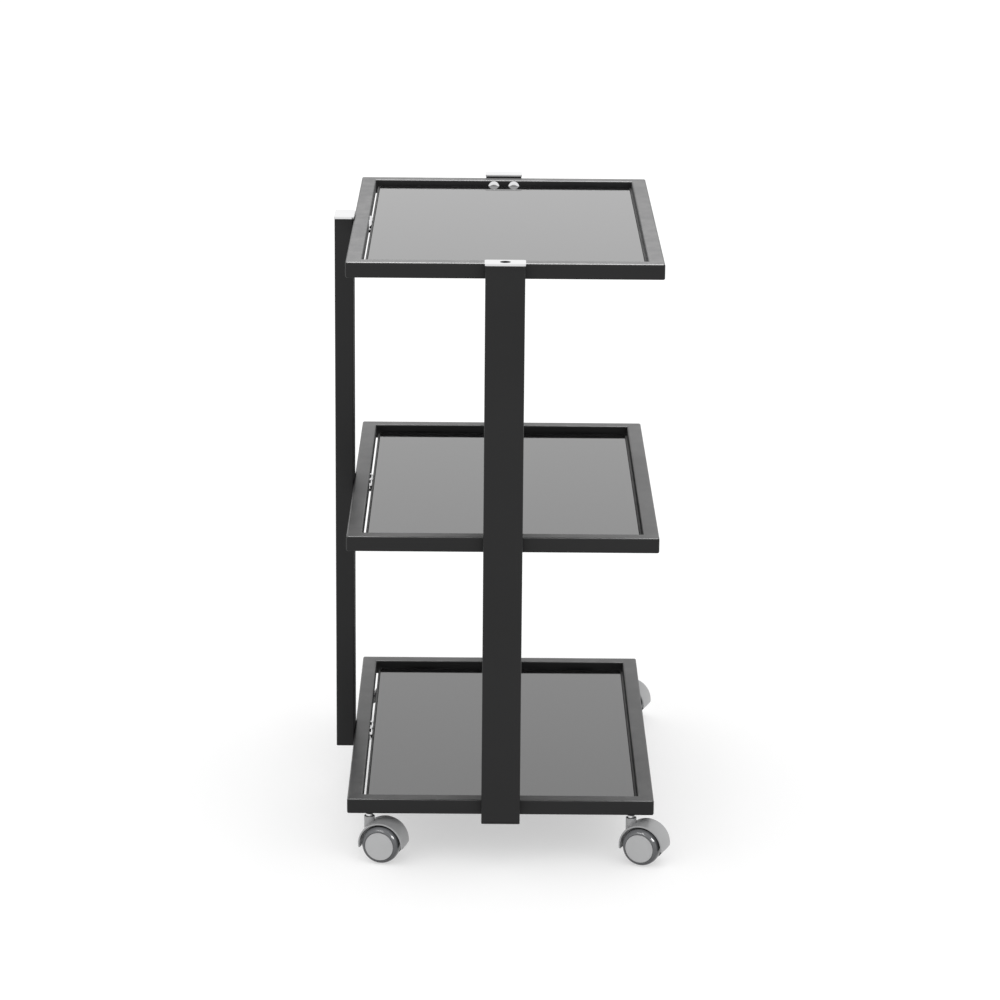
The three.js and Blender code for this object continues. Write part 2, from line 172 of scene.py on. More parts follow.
class CastorSettings(bpy.types.PropertyGroup):
    """Sizes of the twin-wheel castors."""
    hood_radius: length("Hood radius", "Outer radius of the hood about the axle", 30.4 * MM)
    hood_wall: length("Hood wall", "Wall thickness of the hood", 2.2 * MM)
    hood_half_width: length("Hood half width", "Half the hood's width along the axle", 17 * MM)
    hood_crown: length("Hood crown", "How far the hood's edges lie below its middle", 0.5 * MM)
    hood_corner: length("Hood corner", "Radius of the four corners of the hood's sheet", 3 * MM)
    leading_tip: turn("Leading tip", "Angle of the front lip below the axle", 12)
    trailing_tip: turn("Trailing tip", "Angle of the rear lip below the axle", 7)
    web_half: length("Web", "Half the thickness of the web between the wheels", 6 * MM)
    boss_radius: length("Axle boss", "Radius of the boss round the axle", 8 * MM)
    neck_radius: length("Neck", "Outer radius of the neck", 7 * MM)
    neck_top: length("Neck top", "Height of the neck's rim above the floor", 59 * MM)
    recess_radius: length("Neck recess", "Radius of the recess round the collar", 5.7 * MM)
    collar_radius: length("Collar", "Radius of the stem's collar", 4.7 * MM)
    collar_bottom: length("Collar bottom", "Height of the collar's lower end", 56.8 * MM)
    hub_radius: length("Hub cap", "Radius of a hub cap", 18.8 * MM)
    hub_face: length("Hub cap face", "Distance of a hub cap's face from the castor's middle",
                     21.5 * MM)
    tyre_inner: length("Tyre inner face", "Distance of the inner face from the middle", 6.5 * MM)
    tyre_outer: length("Tyre outer face", "Distance of the outer lip from the middle", 20.8 * MM)
    tread_edge: length("Tread edge", "Where the flat tread ends and the shoulder begins", 11 * MM)


class FinishSettings(bpy.types.PropertyGroup):
    """Colours and gloss of the finishes."""
    coat: colour("Powder coat", "Colour of the black powder coat", (0.0042, 0.0042, 0.0044))
    coat_roughness: share("Coat roughness", "Roughness of the powder coat", 0.38)
    glass: colour("Black glass", "Colour of the glass", (0.0035, 0.0035, 0.0038))
    chrome: colour("Chrome", "Colour of the chrome plate", (0.66, 0.66, 0.665))
    zinc: colour("Zinc", "Colour of the zinc plate", (0.55, 0.56, 0.57))
    sleeve: colour("Sleeve", "Colour of the blued steel sleeve", (0.03, 0.03, 0.033))
    plug: colour("Plug", "Colour of the black plastic plugs", (0.012, 0.012, 0.0125))
    hood: colour("Castor grey", "Colour of the castor hoods", (0.3, 0.302, 0.305))
    hub: colour("Hub cap grey", "Colour of the hub caps", (0.375, 0.377, 0.38))
    tyre: colour("Tyre", "Colour of the tyres", (0.04, 0.041, 0.043))
    pad: colour("Pad", "Colour of the soft pads", (0.55, 0.55, 0.54))
    floor: colour("Floor", "Colour of the floor", (0.5, 0.5, 0.5))
    floor_glow: share("Floor glow", "How much light the floor itself gives", 0.5)


class StageSettings(bpy.types.PropertyGroup):
    """Camera, floor and lights."""
    floor_size: length("Floor", "Side of the floor", 60.0)
    camera_side: FloatProperty(
        name="Camera side", description="Camera's place along X", default=-0.0214, unit="LENGTH")
    camera_back: length("Camera distance", "Camera's distance in front of the middle", 4.5698)
    camera_height: length("Camera height", "Camera's height above the floor", 1.6729)
    camera_down: turn("Camera pitch", "How far the camera looks down", 15.477)
    camera_aside: turn("Camera yaw", "How far the camera looks to the right", 0.253)
    camera_roll: turn("Camera roll", "How far the camera is rolled", 0.5)
    camera_lens: FloatProperty(
        name="Lens", description="Focal length on a 36 mm sensor", default=125.47, unit="CAMERA")
    sky: FloatProperty(
        name="Surround", description="Strength of the white surround", default=1.2, min=0.0)
    overhead: watts("Overhead box", "Power of the overhead soft box", 400.0)
    strip: watts("Front strip", "Power of the strip light at the front left", 200.0)
    side_box: watts("Side box", "Power of the small box at the front right", 90.0)


GROUPS = {
    "trolley_frame": FrameSettings,
    "trolley_glass": GlassSettings,
    "trolley_post": PostSettings,
    "trolley_castor": CastorSettings,
    "trolley_finish": FinishSettings,
    "trolley_stage": StageSettings,
}


# ---------------------------------------------------------------- outlines and meshes

def arc(centre, radius, start, end, steps):
    """Points on an arc in a plane, from one angle to another."""
    angles = [start + (end - start) * i / steps for i in range(steps + 1)]
    return [(centre[0] + radius * math.cos(a), centre[1] + radius * math.sin(a)) for a in angles]


def quarter_angles(steps):
    """Angles from nought to a right angle."""
    return [math.pi / 2 * i / steps for i in range(steps + 1)]


def level_loop(plan, centre, height):
    """Plan points moved to a centre and set at one height."""
    return [(x + centre[0], y + centre[1], height) for x, y in plan]


def rounded_rectangle(width, height, radius, steps=5, side_steps=1):
    """Points round a rectangle with round corners, with each side cut into side_steps."""
    x, y = width / 2 - radius, height / 2 - radius
    quarter = math.pi / 2
    corners = [
        arc(centre, radius, quarter * i, quarter * (i + 1), steps)
        for i, centre in enumerate(((x, y), (-x, y), (-x, -y), (x, -y)))]
    points = []
    for here, after in zip(corners, corners[1:] + corners[:1]):
        points += here
        (x0, y0), (x1, y1) = here[-1], after[0]
        points += [(x0 + (x1 - x0) * k / side_steps, y0 + (y1 - y0) * k / side_steps)
                   for k in range(1, side_steps)]
    return points


def skin(loops, closed=False):
    """A closed surface through loops of equally many points; open ends get a flat cap."""
    mesh = bmesh.new()
    rings = [[mesh.verts.new(point) for point in loop] for loop in loops]
    count = len(rings[0])
    pairs = list(zip(rings, rings[1:])) + ([(rings[-1], rings[0])] if closed else [])
    for here, after in pairs:
        for i in range(count):
            k = (i + 1) % count
            mesh.faces.new((here[i], here[k], after[k], after[i]))
    if not closed:
        mesh.faces.new(rings[0])
        mesh.faces.new(rings[-1])
    return tidy(mesh)


def tidy(mesh):
    """Merges doubles and turns every face outwards."""
    bmesh.ops.remove_doubles(mesh, verts=mesh.verts, dist=MERGE_DISTANCE)
    bmesh.ops.dissolve_degenerate(mesh, edges=mesh.edges, dist=MERGE_DISTANCE)
    bmesh.ops.recalc_face_normals(mesh, faces=mesh.faces)
    return mesh


def turned(profile, segments, closed=False):
    """A profile of (radius, height) points turned about Z."""
    loops = []
    for radius, height in profile:
        ring = arc((0, 0), radius, 0, 2 * math.pi, segments)[:-1]
        loops.append([(x, y, height) for x, y in ring])
    return skin(loops, closed)


def slab(width, depth, corner, edges, steps=5, centre=(0, 0)):
    """A plate whose outline is drawn in by each (inset, height) of edges, from bottom to top."""
    least_corner = 0.05 * MM
    loops = []
    for inset, height in edges:
        plan = rounded_rectangle(
            width - 2 * inset, depth - 2 * inset, max(corner - inset, least_corner), steps)
        loops.append(level_loop(plan, centre, height))
    return skin(loops)


def round_edges(radius, low, high, steps=4):
    """The (inset, height) list of a plate whose lower and upper edges are rounded."""
    fillet = [(radius * (1 - math.sin(a)), radius * (1 - math.cos(a)))
              for a in quarter_angles(steps)]
    return [(i, low + h) for i, h in fillet] + [(i, high - h) for i, h in reversed(fillet)]


def joined(meshes):
    """Several closed surfaces as one."""
    total = bmesh.new()
    for mesh in meshes:
        copy = bpy.data.meshes.new("joined")
        mesh.to_mesh(copy)
        total.from_mesh(copy)
        bpy.data.meshes.remove(copy)
        mesh.free()
    return total


def moved(mesh, matrix):
    bmesh.ops.transform(mesh, matrix=matrix, verts=mesh.verts)
    return mesh


def new_object(name, mesh, material=None):
    """An object with that surface, which is used up."""
    data = bpy.data.meshes.new(name)
    mesh.to_mesh(data)
    mesh.free()
    if material:
        data.materials.append(material)
    thing = bpy.data.objects.new(name, data)
    bpy.context.scene.collection.objects.link(thing)
    return thing


def drop(thing):
    """Removes an object and its mesh."""
    data = thing.data
    bpy.data.objects.remove(thing)
    bpy.data.meshes.remove(data)


def settle(thing):
    """Applies an object's modifiers and leaves it with a plain mesh."""
    bpy.context.view_layer.update()
    depsgraph = bpy.context.evaluated_depsgraph_get()
    result = bpy.data.meshes.new_from_object(
        thing.evaluated_get(depsgraph), preserve_all_data_layers=True, depsgraph=depsgraph)
    old = thing.data
    thing.modifiers.clear()
    thing.data = result
    result.name = thing.name
    bpy.data.meshes.remove(old)
    return thing


def smoothed(thing):
    """Smooth shading that keeps flat faces flat and steep edges sharp."""
    face_weight = 80
    thing.data.shade_smooth()
    thing.data.set_sharp_from_angle(angle=SHARP_ANGLE)
    weighted = thing.modifiers.new("Even normals", "WEIGHTED_NORMAL")
    weighted.keep_sharp = True
    weighted.weight = face_weight
    return settle(thing)


def piece(name, mesh, material, body, replaced=()):
    """A finished piece that rides on a body and stands for CAD nodes."""
    thing = smoothed(new_object(name, mesh, material))
    return declared(thing, body, replaced)


def declared(thing, body, replaced=()):
    """Hangs a piece on its body's empty and hides the CAD nodes that it stands for."""
    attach(thing, body)
    if replaced:
        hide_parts(*replaced)
    return thing


def combined(base, others, operation):
    """One surface from a base and others, by an exact union or difference."""
    target = new_object("combined", base)
    tools = [new_object("tool", other) for other in others]
    for tool in tools:
        cut = target.modifiers.new("Cut", "BOOLEAN")
        cut.operation = operation
        cut.solver = "EXACT"
        cut.object = tool
    settle(target)
    result = bmesh.new()
    result.from_mesh(target.data)
    for thing in [target, *tools]:
        drop(thing)
    return result


# ---------------------------------------------------------------- node trees

def add(tree, kind, inputs=None, **settings):
    """Adds a node. An input is given as a value or as the socket that feeds it."""
    node = tree.nodes.new(kind)
    for name, value in settings.items():
        setattr(node, name, value)
    for name, value in (inputs or {}).items():
        if isinstance(value, bpy.types.NodeSocket):
            tree.links.new(value, node.inputs[name])
        else:
            node.inputs[name].default_value = value
    return node


def maths(tree, operation, first, second=0.0, third=0.0):
    node = add(tree, "ShaderNodeMath", {0: first, 1: second, 2: third}, operation=operation)
    return node.outputs[0]


def blend_colour(tree, factor, first, second):
    """A colour between two, by a factor socket."""
    node = add(tree, "ShaderNodeMix", {"Factor": factor}, data_type="RGBA")
    for index, value in ((6, first), (7, second)):
        if isinstance(value, bpy.types.NodeSocket):
            tree.links.new(value, node.inputs[index])
        else:
            node.inputs[index].default_value = (*value, 1.0)
    return node.outputs[2]


def ramp(tree, value, start, end, low=0.0, high=1.0, **settings):
    """A number that goes from low to high while a socket goes from start to end."""
    span = {"Value": value, "From Min": start, "From Max": end, "To Min": low, "To Max": high}
    return add(tree, "ShaderNodeMapRange", span, **settings).outputs["Result"]


def between(tree, factor, low, high):
    """A number between two, by a factor socket."""
    return ramp(tree, factor, 0.0, 1.0, low, high)


def noise(tree, vector, scale, detail, roughness, distortion=0.0):
    """A noise pattern from 0 to 1."""
    node = add(tree, "ShaderNodeTexNoise", {
        "Vector": vector, "Scale": scale, "Detail": detail, "Roughness": roughness,
        "Distortion": distortion})
    return node.outputs["Fac"]


def new_group(name, kind, inputs, outputs):
    """A node group with sockets of (type, name, default)."""
    tree = bpy.data.node_groups.new(name, kind)
    for in_out, sockets in (("INPUT", inputs), ("OUTPUT", outputs)):
        for socket_type, label, default in sockets:
            socket = tree.interface.new_socket(label, in_out=in_out, socket_type=socket_type)
            if default is not None:
                socket.default_value = default
    return tree, add(tree, "NodeGroupInput"), add(tree, "NodeGroupOutput")


def place_group(tree, name, **values):
    """Places a shared shader group, with its inputs by name and _ for a space."""
    node = add(tree, "ShaderNodeGroup", node_tree=bpy.data.node_groups[name])
    for label, value in values.items():
        socket = node.inputs[label.replace("_", " ")]
        if isinstance(value, bpy.types.NodeSocket):
            tree.links.new(value, socket)
        else:
            socket.default_value = value
    return node.outputs


def put_out(tree, outside, **sockets):
    """Links sockets to a group's outputs by name."""
    for label, socket in sockets.items():
        tree.links.new(socket, outside.inputs[label])


NUMBER, VECTOR = "NodeSocketFloat", "NodeSocketVector"


def build_grain_group():
    """Fine grain over wide patches, for paint and moulded plastic."""
    tree, inside, outside = new_group(
        "Surface grain", "ShaderNodeTree",
        [(VECTOR, "Vector", None), (NUMBER, "Grain Scale", 700.0), (NUMBER, "Patch Scale", 9.0)],
        [(NUMBER, "Height", None), (NUMBER, "Patch", None), (NUMBER, "Speckle", None)])
    source = inside.outputs
    cell_finer, cell_share = 0.55, 0.6
    fine = noise(tree, source["Vector"], source["Grain Scale"], detail=3.0, roughness=0.55)
    wide = noise(tree, source["Vector"], source["Patch Scale"], detail=3.0, roughness=0.5)
    cell_scale = maths(tree, "MULTIPLY", source["Grain Scale"], cell_finer)
    cells = add(tree, "ShaderNodeTexVoronoi",
                {"Vector": source["Vector"], "Scale": cell_scale}, feature="SMOOTH_F1")
    height = maths(tree, "MULTIPLY_ADD", cells.outputs["Distance"], cell_share, fine)
    put_out(tree, outside, Height=height, Patch=ramp(tree, wide, 0.3, 0.7),
            Speckle=ramp(tree, fine, 0.58, 0.74))


def build_dust_group():
    """Thin dust that settles on what faces up."""
    tree, inside, outside = new_group(
        "Settled dust", "ShaderNodeTree",
        [(VECTOR, "Vector", None), (NUMBER, "Amount", 0.1), (NUMBER, "Scale", 60.0)],
        [(NUMBER, "Mask", None)])
    geometry = add(tree, "ShaderNodeNewGeometry")
    split = add(tree, "ShaderNodeSeparateXYZ", {0: geometry.outputs["Normal"]})
    facing_up = ramp(tree, split.outputs["Z"], 0.35, 1.0)
    drift = noise(tree, inside.outputs["Vector"], inside.outputs["Scale"],
                  detail=5.0, roughness=0.7)
    amount = maths(tree, "MULTIPLY", facing_up, inside.outputs["Amount"])
    put_out(tree, outside, Mask=maths(tree, "MULTIPLY", amount, ramp(tree, drift, 0.42, 0.75)))


def build_wipe_group():
    """Faint wipe marks and smears on a polished surface."""
    tree, inside, outside = new_group(
        "Wipe marks", "ShaderNodeTree",
        [(VECTOR, "Vector", None), (NUMBER, "Scale", 14.0), (NUMBER, "Stretch", 6.0)],
        [(NUMBER, "Mask", None), (NUMBER, "Height", None)])
    stretch = add(tree, "ShaderNodeCombineXYZ",
                  {"X": inside.outputs["Stretch"], "Y": 1.0, "Z": 1.0})
    pulled = add(tree, "ShaderNodeVectorMath",
                 {0: inside.outputs["Vector"], 1: stretch.outputs[0]}, operation="MULTIPLY")
    smear = noise(tree, pulled.outputs[0], inside.outputs["Scale"],
                  detail=4.0, roughness=0.6, distortion=0.4)
    put_out(tree, outside, Mask=ramp(tree, smear, 0.4, 0.72), Height=smear)


def build_mitre_group():
    """A fine line along the four mitred corners of a shelf frame."""
    tree, inside, outside = new_group(
        "Mitre seam", "ShaderNodeTree",
        [(VECTOR, "Vector", None), (NUMBER, "Centre", 0.0), (NUMBER, "Half Width", 0.2),
         (NUMBER, "Half Depth", 0.3), (NUMBER, "Line Width", 0.0004)],
        [(NUMBER, "Mask", None)])
    source = inside.outputs
    split = add(tree, "ShaderNodeSeparateXYZ", {0: source["Vector"]})
    from_middle = maths(tree, "ABSOLUTE",
                        maths(tree, "SUBTRACT", split.outputs["X"], source["Centre"]))
    along_x = maths(tree, "SUBTRACT", from_middle, source["Half Width"])
    along_y = maths(tree, "SUBTRACT",
                    maths(tree, "ABSOLUTE", split.outputs["Y"]), source["Half Depth"])
    apart = maths(tree, "ABSOLUTE", maths(tree, "SUBTRACT", along_x, along_y))
    line = ramp(tree, apart, 0.0, source["Line Width"], 1.0, 0.0,
                interpolation_type="SMOOTHSTEP")
    put_out(tree, outside, Mask=line)


def build_edge_group():
    """Marks the faces of a flat sheet that are not level: its ground edges."""
    tree, _, outside = new_group("Ground edge", "ShaderNodeTree", [], [(NUMBER, "Mask", None)])
    geometry = add(tree, "ShaderNodeNewGeometry")
    split = add(tree, "ShaderNodeSeparateXYZ", {0: geometry.outputs["True Normal"]})
    level = maths(tree, "ABSOLUTE", split.outputs["Z"])
    put_out(tree, outside, Mask=ramp(tree, level, 0.9, 0.97, 1.0, 0.0))


def build_spangle_group():
    """Crystal spangle of a plated surface."""
    tree, inside, outside = new_group(
        "Plating spangle", "ShaderNodeTree",
        [(VECTOR, "Vector", None), (NUMBER, "Scale", 400.0)],
        [(NUMBER, "Tone", None)])
    cells = add(tree, "ShaderNodeTexVoronoi",
                {"Vector": inside.outputs["Vector"], "Scale": inside.outputs["Scale"]})
    split = add(tree, "ShaderNodeSeparateColor", {0: cells.outputs["Color"]})
    put_out(tree, outside, Tone=split.outputs[0])


# ---------------------------------------------------------------- finishes

def new_finish(name, ior=1.5, metallic=0.0):
    """A material with a Principled shader, and the socket of its object coordinates."""
    material = bpy.data.materials.new(name)
    material.use_nodes = True
    tree = material.node_tree
    tree.nodes.clear()
    shader = add(tree, "ShaderNodeBsdfPrincipled", {"IOR": ior, "Metallic": metallic})
    add(tree, "ShaderNodeOutputMaterial", {"Surface": shader.outputs["BSDF"]})
    place = add(tree, "ShaderNodeTexCoord").outputs["Object"]
    return material, tree, shader, place


def bump(tree, shader, height, strength):
    """Feeds a height to the shader's normal."""
    node = add(tree, "ShaderNodeBump",
               {"Height": height, "Strength": strength, "Distance": RELIEF_DEPTH})
    tree.links.new(node.outputs["Normal"], shader.inputs["Normal"])


def feed(tree, shader, base=None, roughness=None):
    """Links what varies over the surface to the shader."""
    for name, socket in (("Base Color", base), ("Roughness", roughness)):
        if socket is not None:
            tree.links.new(socket, shader.inputs[name])


def brighter(tone, factor):
    return tuple(min(1.0, value * factor) for value in tone)


DUST_TONE = (0.32, 0.31, 0.3)
RELIEF_DEPTH = 0.05 * MM


def powder_coat(name, tone, roughness, seams=False):
    """Satin black powder coat with orange peel and a trace of dust."""
    material, tree, shader, place = new_finish(name, ior=1.35)
    height, patch, speckle = place_group(
        tree, "Surface grain", Vector=place, Grain_Scale=620.0, Patch_Scale=7.0)
    dust = place_group(tree, "Settled dust", Vector=place, Amount=0.035, Scale=45.0)["Mask"]
    base = blend_colour(tree, patch, tone, brighter(tone, 1.35))
    base = blend_colour(tree, maths(tree, "MULTIPLY", speckle, 0.25), base, brighter(tone, 2.2))
    base = blend_colour(tree, dust, base, DUST_TONE)
    gloss = between(tree, patch, roughness - 0.03, roughness + 0.04)
    relief = height
    if seams:
        half = box_size("middle_frame") / 2
        seam = place_group(
            tree, "Mitre seam", Vector=place, Centre=box_centre("middle_frame").x,
            Half_Width=half.x, Half_Depth=half.y, Line_Width=0.5 * MM)["Mask"]
        relief = maths(tree, "MULTIPLY_ADD", seam, -0.8, height)
        gloss = maths(tree, "MULTIPLY_ADD", seam, 0.08, gloss)
    facing = add(tree, "ShaderNodeLayerWeight").outputs["Facing"]
    grazing = ramp(tree, facing, 0.82, 0.97)
    feed(tree, shader, base, maths(tree, "MULTIPLY_ADD", grazing, 0.5, gloss))
    bump(tree, shader, relief, 0.22)
    return material


def black_glass(tone):
    """Polished black glass with faint wipe marks."""
    material, tree, shader, place = new_finish("Black glass", ior=1.55)
    marks = place_group(tree, "Wipe marks", Vector=place, Scale=9.0, Stretch=4.0)["Mask"]
    dust = place_group(tree, "Settled dust", Vector=place, Amount=0.012, Scale=160.0)["Mask"]
    base = blend_colour(tree, dust, tone, DUST_TONE)
    gloss = between(tree, marks, 0.012, 0.05)
    ground = place_group(tree, "Ground edge")["Mask"]
    gloss = maths(tree, "MULTIPLY_ADD", ground, 0.75, maths(tree, "ADD", gloss, dust))
    feed(tree, shader, base, gloss)
    return material


def chrome_plate(tone):
    """Bright chrome over a lightly brushed base."""
    material, tree, shader, place = new_finish("Chrome plate", metallic=1.0)
    marks = place_group(tree, "Wipe marks", Vector=place, Scale=120.0, Stretch=0.2)
    base = blend_colour(tree, marks["Mask"], tone, brighter(tone, 0.93))
    feed(tree, shader, base, between(tree, marks["Mask"], 0.07, 0.14))
    bump(tree, shader, marks["Height"], 0.06)
    return material


def zinc_plate(name, tone):
    """Dull plated steel with a fine spangle."""
    material, tree, shader, place = new_finish(name, metallic=1.0)
    spangle = place_group(tree, "Plating spangle", Vector=place, Scale=700.0)["Tone"]
    base = blend_colour(tree, spangle, brighter(tone, 0.8), tone)
    feed(tree, shader, base, between(tree, spangle, 0.28, 0.42))
    return material


def moulded_plastic(name, tone, roughness, grain, relief, dust_amount):
    """Moulded plastic with a fine eroded grain."""
    material, tree, shader, place = new_finish(name, ior=1.48)
    height, patch, speckle = place_group(
        tree, "Surface grain", Vector=place, Grain_Scale=grain, Patch_Scale=30.0)
    dust = place_group(tree, "Settled dust", Vector=place, Amount=dust_amount, Scale=120.0)["Mask"]
    base = blend_colour(tree, patch, brighter(tone, 0.96), brighter(tone, 1.04))
    base = blend_colour(tree, maths(tree, "MULTIPLY", speckle, 0.15), base, brighter(tone, 0.85))
    base = blend_colour(tree, dust, base, DUST_TONE)
    feed(tree, shader, base, between(tree, patch, roughness - 0.04, roughness + 0.04))
    bump(tree, shader, height, relief)
    return material


def pad_rubber(tone):
    """Clear soft rubber of the glass pads."""
    material, tree, shader, place = new_finish("Pad rubber", ior=1.45)
    height, patch, _ = place_group(
        tree, "Surface grain", Vector=place, Grain_Scale=900.0, Patch_Scale=60.0)
    base = blend_colour(tree, patch, brighter(tone, 0.9), tone)
    feed(tree, shader, base, between(tree, patch, 0.35, 0.5))
    bump(tree, shader, height, 0.1)
    return material


def floor_paint(tone, glow):
    """Plain pale floor, lit a little from within, with a trace of tone."""
    material, tree, shader, place = new_finish("Pale floor")
    _, patch, _ = place_group(
        tree, "Surface grain", Vector=place, Grain_Scale=40.0, Patch_Scale=0.6)
    shader.inputs["Specular IOR Level"].default_value = 0.1
    shader.inputs["Emission Color"].default_value = (1, 1, 1, 1)
    shader.inputs["Emission Strength"].default_value = glow
    base = blend_colour(tree, patch, brighter(tone, 0.995), tone)
    feed(tree, shader, base, between(tree, patch, 0.8, 0.9))
    return material


def finish(name):
    """A finish made by the finishes operator."""
    return bpy.data.materials[name]


class TROLLEY_OT_mix_finishes(bpy.types.Operator):
    """Builds the shared shader groups and every finish"""
    bl_idname = "trolley.mix_finishes"
    bl_label = "Mix finishes"

    def execute(self, context):
        for build in (build_grain_group, build_dust_group, build_wipe_group, build_mitre_group,
                      build_edge_group, build_spangle_group):
            build()
        tones = context.scene.trolley_finish
        powder_coat("Powder coat", tuple(tones.coat), tones.coat_roughness)
        powder_coat("Powder coat mitred", tuple(tones.coat), tones.coat_roughness, seams=True)
        black_glass(tuple(tones.glass))
        chrome_plate(tuple(tones.chrome))
        zinc_plate("Zinc plate", tuple(tones.zinc))
        zinc_plate("Blued steel", tuple(tones.sleeve))
        moulded_plastic("Black plastic", tuple(tones.plug), 0.5, 900.0, 0.3, 0.02)
        moulded_plastic("Castor grey", tuple(tones.hood), 0.36, 1100.0, 0.16, 0.05)
        moulded_plastic("Hub cap grey", tuple(tones.hub), 0.42, 1400.0, 0.1, 0.0)
        moulded_plastic("Tyre", tuple(tones.tyre), 0.16, 800.0, 0.06, 0.02)
        pad_rubber(tuple(tones.pad))
        floor_paint(tuple(tones.floor), tones.floor_glow)
        return {"FINISHED"}


# ---------------------------------------------------------------- shelf frames

def rail_ring(size, corner, half, centre, ground, steps=5):
    """A tube section swept round the frame, mitred, with its outer corners ground round."""
    loops = []
    for u, z in rounded_rectangle(size, size, corner, steps):
        radius = max(ground - (size / 2 - u), 0.0)
        plan = rounded_rectangle(2 * (half.x + u), 2 * (half.y + u), radius, steps)
        loops.append(level_loop(plan, centre, z + centre.z))
    return skin(loops, closed=True)


def frame_centre(tier, rail):
    """Half sizes to the centre lines of a frame's rails, and the centre point."""
    low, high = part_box(f"{tier}_frame")
    half = (high - low) / 2
    centre = Vector(((low.x + high.x) / 2, (low.y + high.y) / 2, high.z - rail / 2))
    return Vector((half.x - rail / 2, half.y - rail / 2)), centre


def lug_places(tier, sizes):
    """The root of each lug: the middle of its upper edge on the rail, and the way it points."""
    half, centre = frame_centre(tier, sizes.rail)
    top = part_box(f"{tier}_glass")[0].z - sizes.pad_gap
    places = []
    for side in (-1, 1):
        for end in (-1, 1):
            across, along = side * sizes.lug_centre, end * (half.y - sizes.rail / 2)
            places.append((Vector((centre.x + across, along, top)), Vector((0, -end, 0))))
    return places


def lug_plate(root, inward, sizes):
    """A lug with round free corners, let into the rail by half its thickness."""
    let_in, edge, corner = sizes.lug_thickness / 2, 0.4 * MM, 3 * MM
    depth = sizes.lug_reach + let_in
    middle = root + inward * (depth / 2 - let_in)
    edges = round_edges(edge, root.z - sizes.lug_thickness, root.z, 3)
    return slab(sizes.lug_width, depth, corner, edges, 4, middle)


def insert_ring(node, sizes):
    """The flange of a screw insert under the rail, with its bore."""
    place = box_centre(node)
    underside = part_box("bottom_frame")[1].z - sizes.rail
    low, inside = underside - sizes.insert_flange, underside + sizes.wall
    bore, rim, edge = sizes.insert_bore, sizes.insert_radius, EDGE_BREAK
    profile = [(bore, inside), (bore, low + edge), (bore + edge, low),
               (rim - edge, low), (rim, low + edge), (rim, inside)]
    return moved(turned(profile, 40, closed=True), Matrix.Translation((place.x, place.y, 0)))


def shelf_frame(tier, sizes):
    """A hollow mitred frame with its lugs, and the castors' screw inserts in the bottom one."""
    half, centre = frame_centre(tier, sizes.rail)
    inner_size, inner_corner = sizes.rail - 2 * sizes.wall, sizes.corner / 4
    hollow = rail_ring(inner_size, inner_corner, half, centre, 0.0, 2)
    bmesh.ops.reverse_faces(hollow, faces=hollow.faces)
    parts = [rail_ring(sizes.rail, sizes.corner, half, centre, sizes.outer_corner), hollow]
    parts += [lug_plate(root, inward, sizes) for root, inward in lug_places(tier, sizes)]
    if tier == "bottom":
        parts += [insert_ring(f"{castor}_stem", sizes) for castor in CASTORS]
    return piece(f"{tier}_shelf_frame", joined(parts), finish("Powder coat mitred"),
                 "root", [f"{tier}_frame"])


class TROLLEY_OT_build_frames(bpy.types.Operator):
    """Builds the three welded shelf frames"""
    bl_idname = "trolley.build_frames"
    bl_label = "Shelf frames"

    def execute(self, context):
        for tier in TIERS:
            shelf_frame(tier, context.scene.trolley_frame)
        return {"FINISHED"}


# ---------------------------------------------------------------- repeated details

GEOMETRY, OBJECT_SOCKET, MATERIAL, WHOLE = (
    "NodeSocketGeometry", "NodeSocketObject", "NodeSocketMaterial", "NodeSocketInt")


def finished_tree(tree, outside, shape, material):
    """Ends a geometry tree in Realize Instances and Set Material."""
    real = add(tree, "GeometryNodeRealizeInstances", {"Geometry": shape})
    painted = add(tree, "GeometryNodeSetMaterial",
                  {"Geometry": real.outputs[0], "Material": material})
    tree.links.new(painted.outputs[0], outside.inputs["Geometry"])


def grown(name, base, tree, values):
    """Runs a geometry tree on a mesh and returns the plain result."""
    thing = new_object(name, base)
    modifier = thing.modifiers.new(tree.name, "NODES")
    modifier.node_group = tree
    for item in tree.interface.items_tree:
        if item.in_out == "INPUT" and item.name in values:
            modifier[item.identifier] = values[item.name]
    return settle(thing)


def points_mesh(places, name=None, vectors=()):
    """Loose points, with a vector kept on each."""
    mesh = bmesh.new()
    layer = mesh.verts.layers.float_vector.new(name) if name else None
    for index, place in enumerate(places):
        vertex = mesh.verts.new(place)
        if layer:
            vertex[layer] = vectors[index]
    return mesh


def chance(tree, seed, low, high):
    """A random number on each point."""
    node = add(tree, "FunctionNodeRandomValue", {2: low, 3: high, "Seed": seed}, data_type="FLOAT")
    return node.outputs[1]


def set_on(tree, points, shape, **more):
    """Sets a shape on each point."""
    inputs = {"Points": points, "Instance": shape, **more}
    return add(tree, "GeometryNodeInstanceOnPoints", inputs).outputs[0]


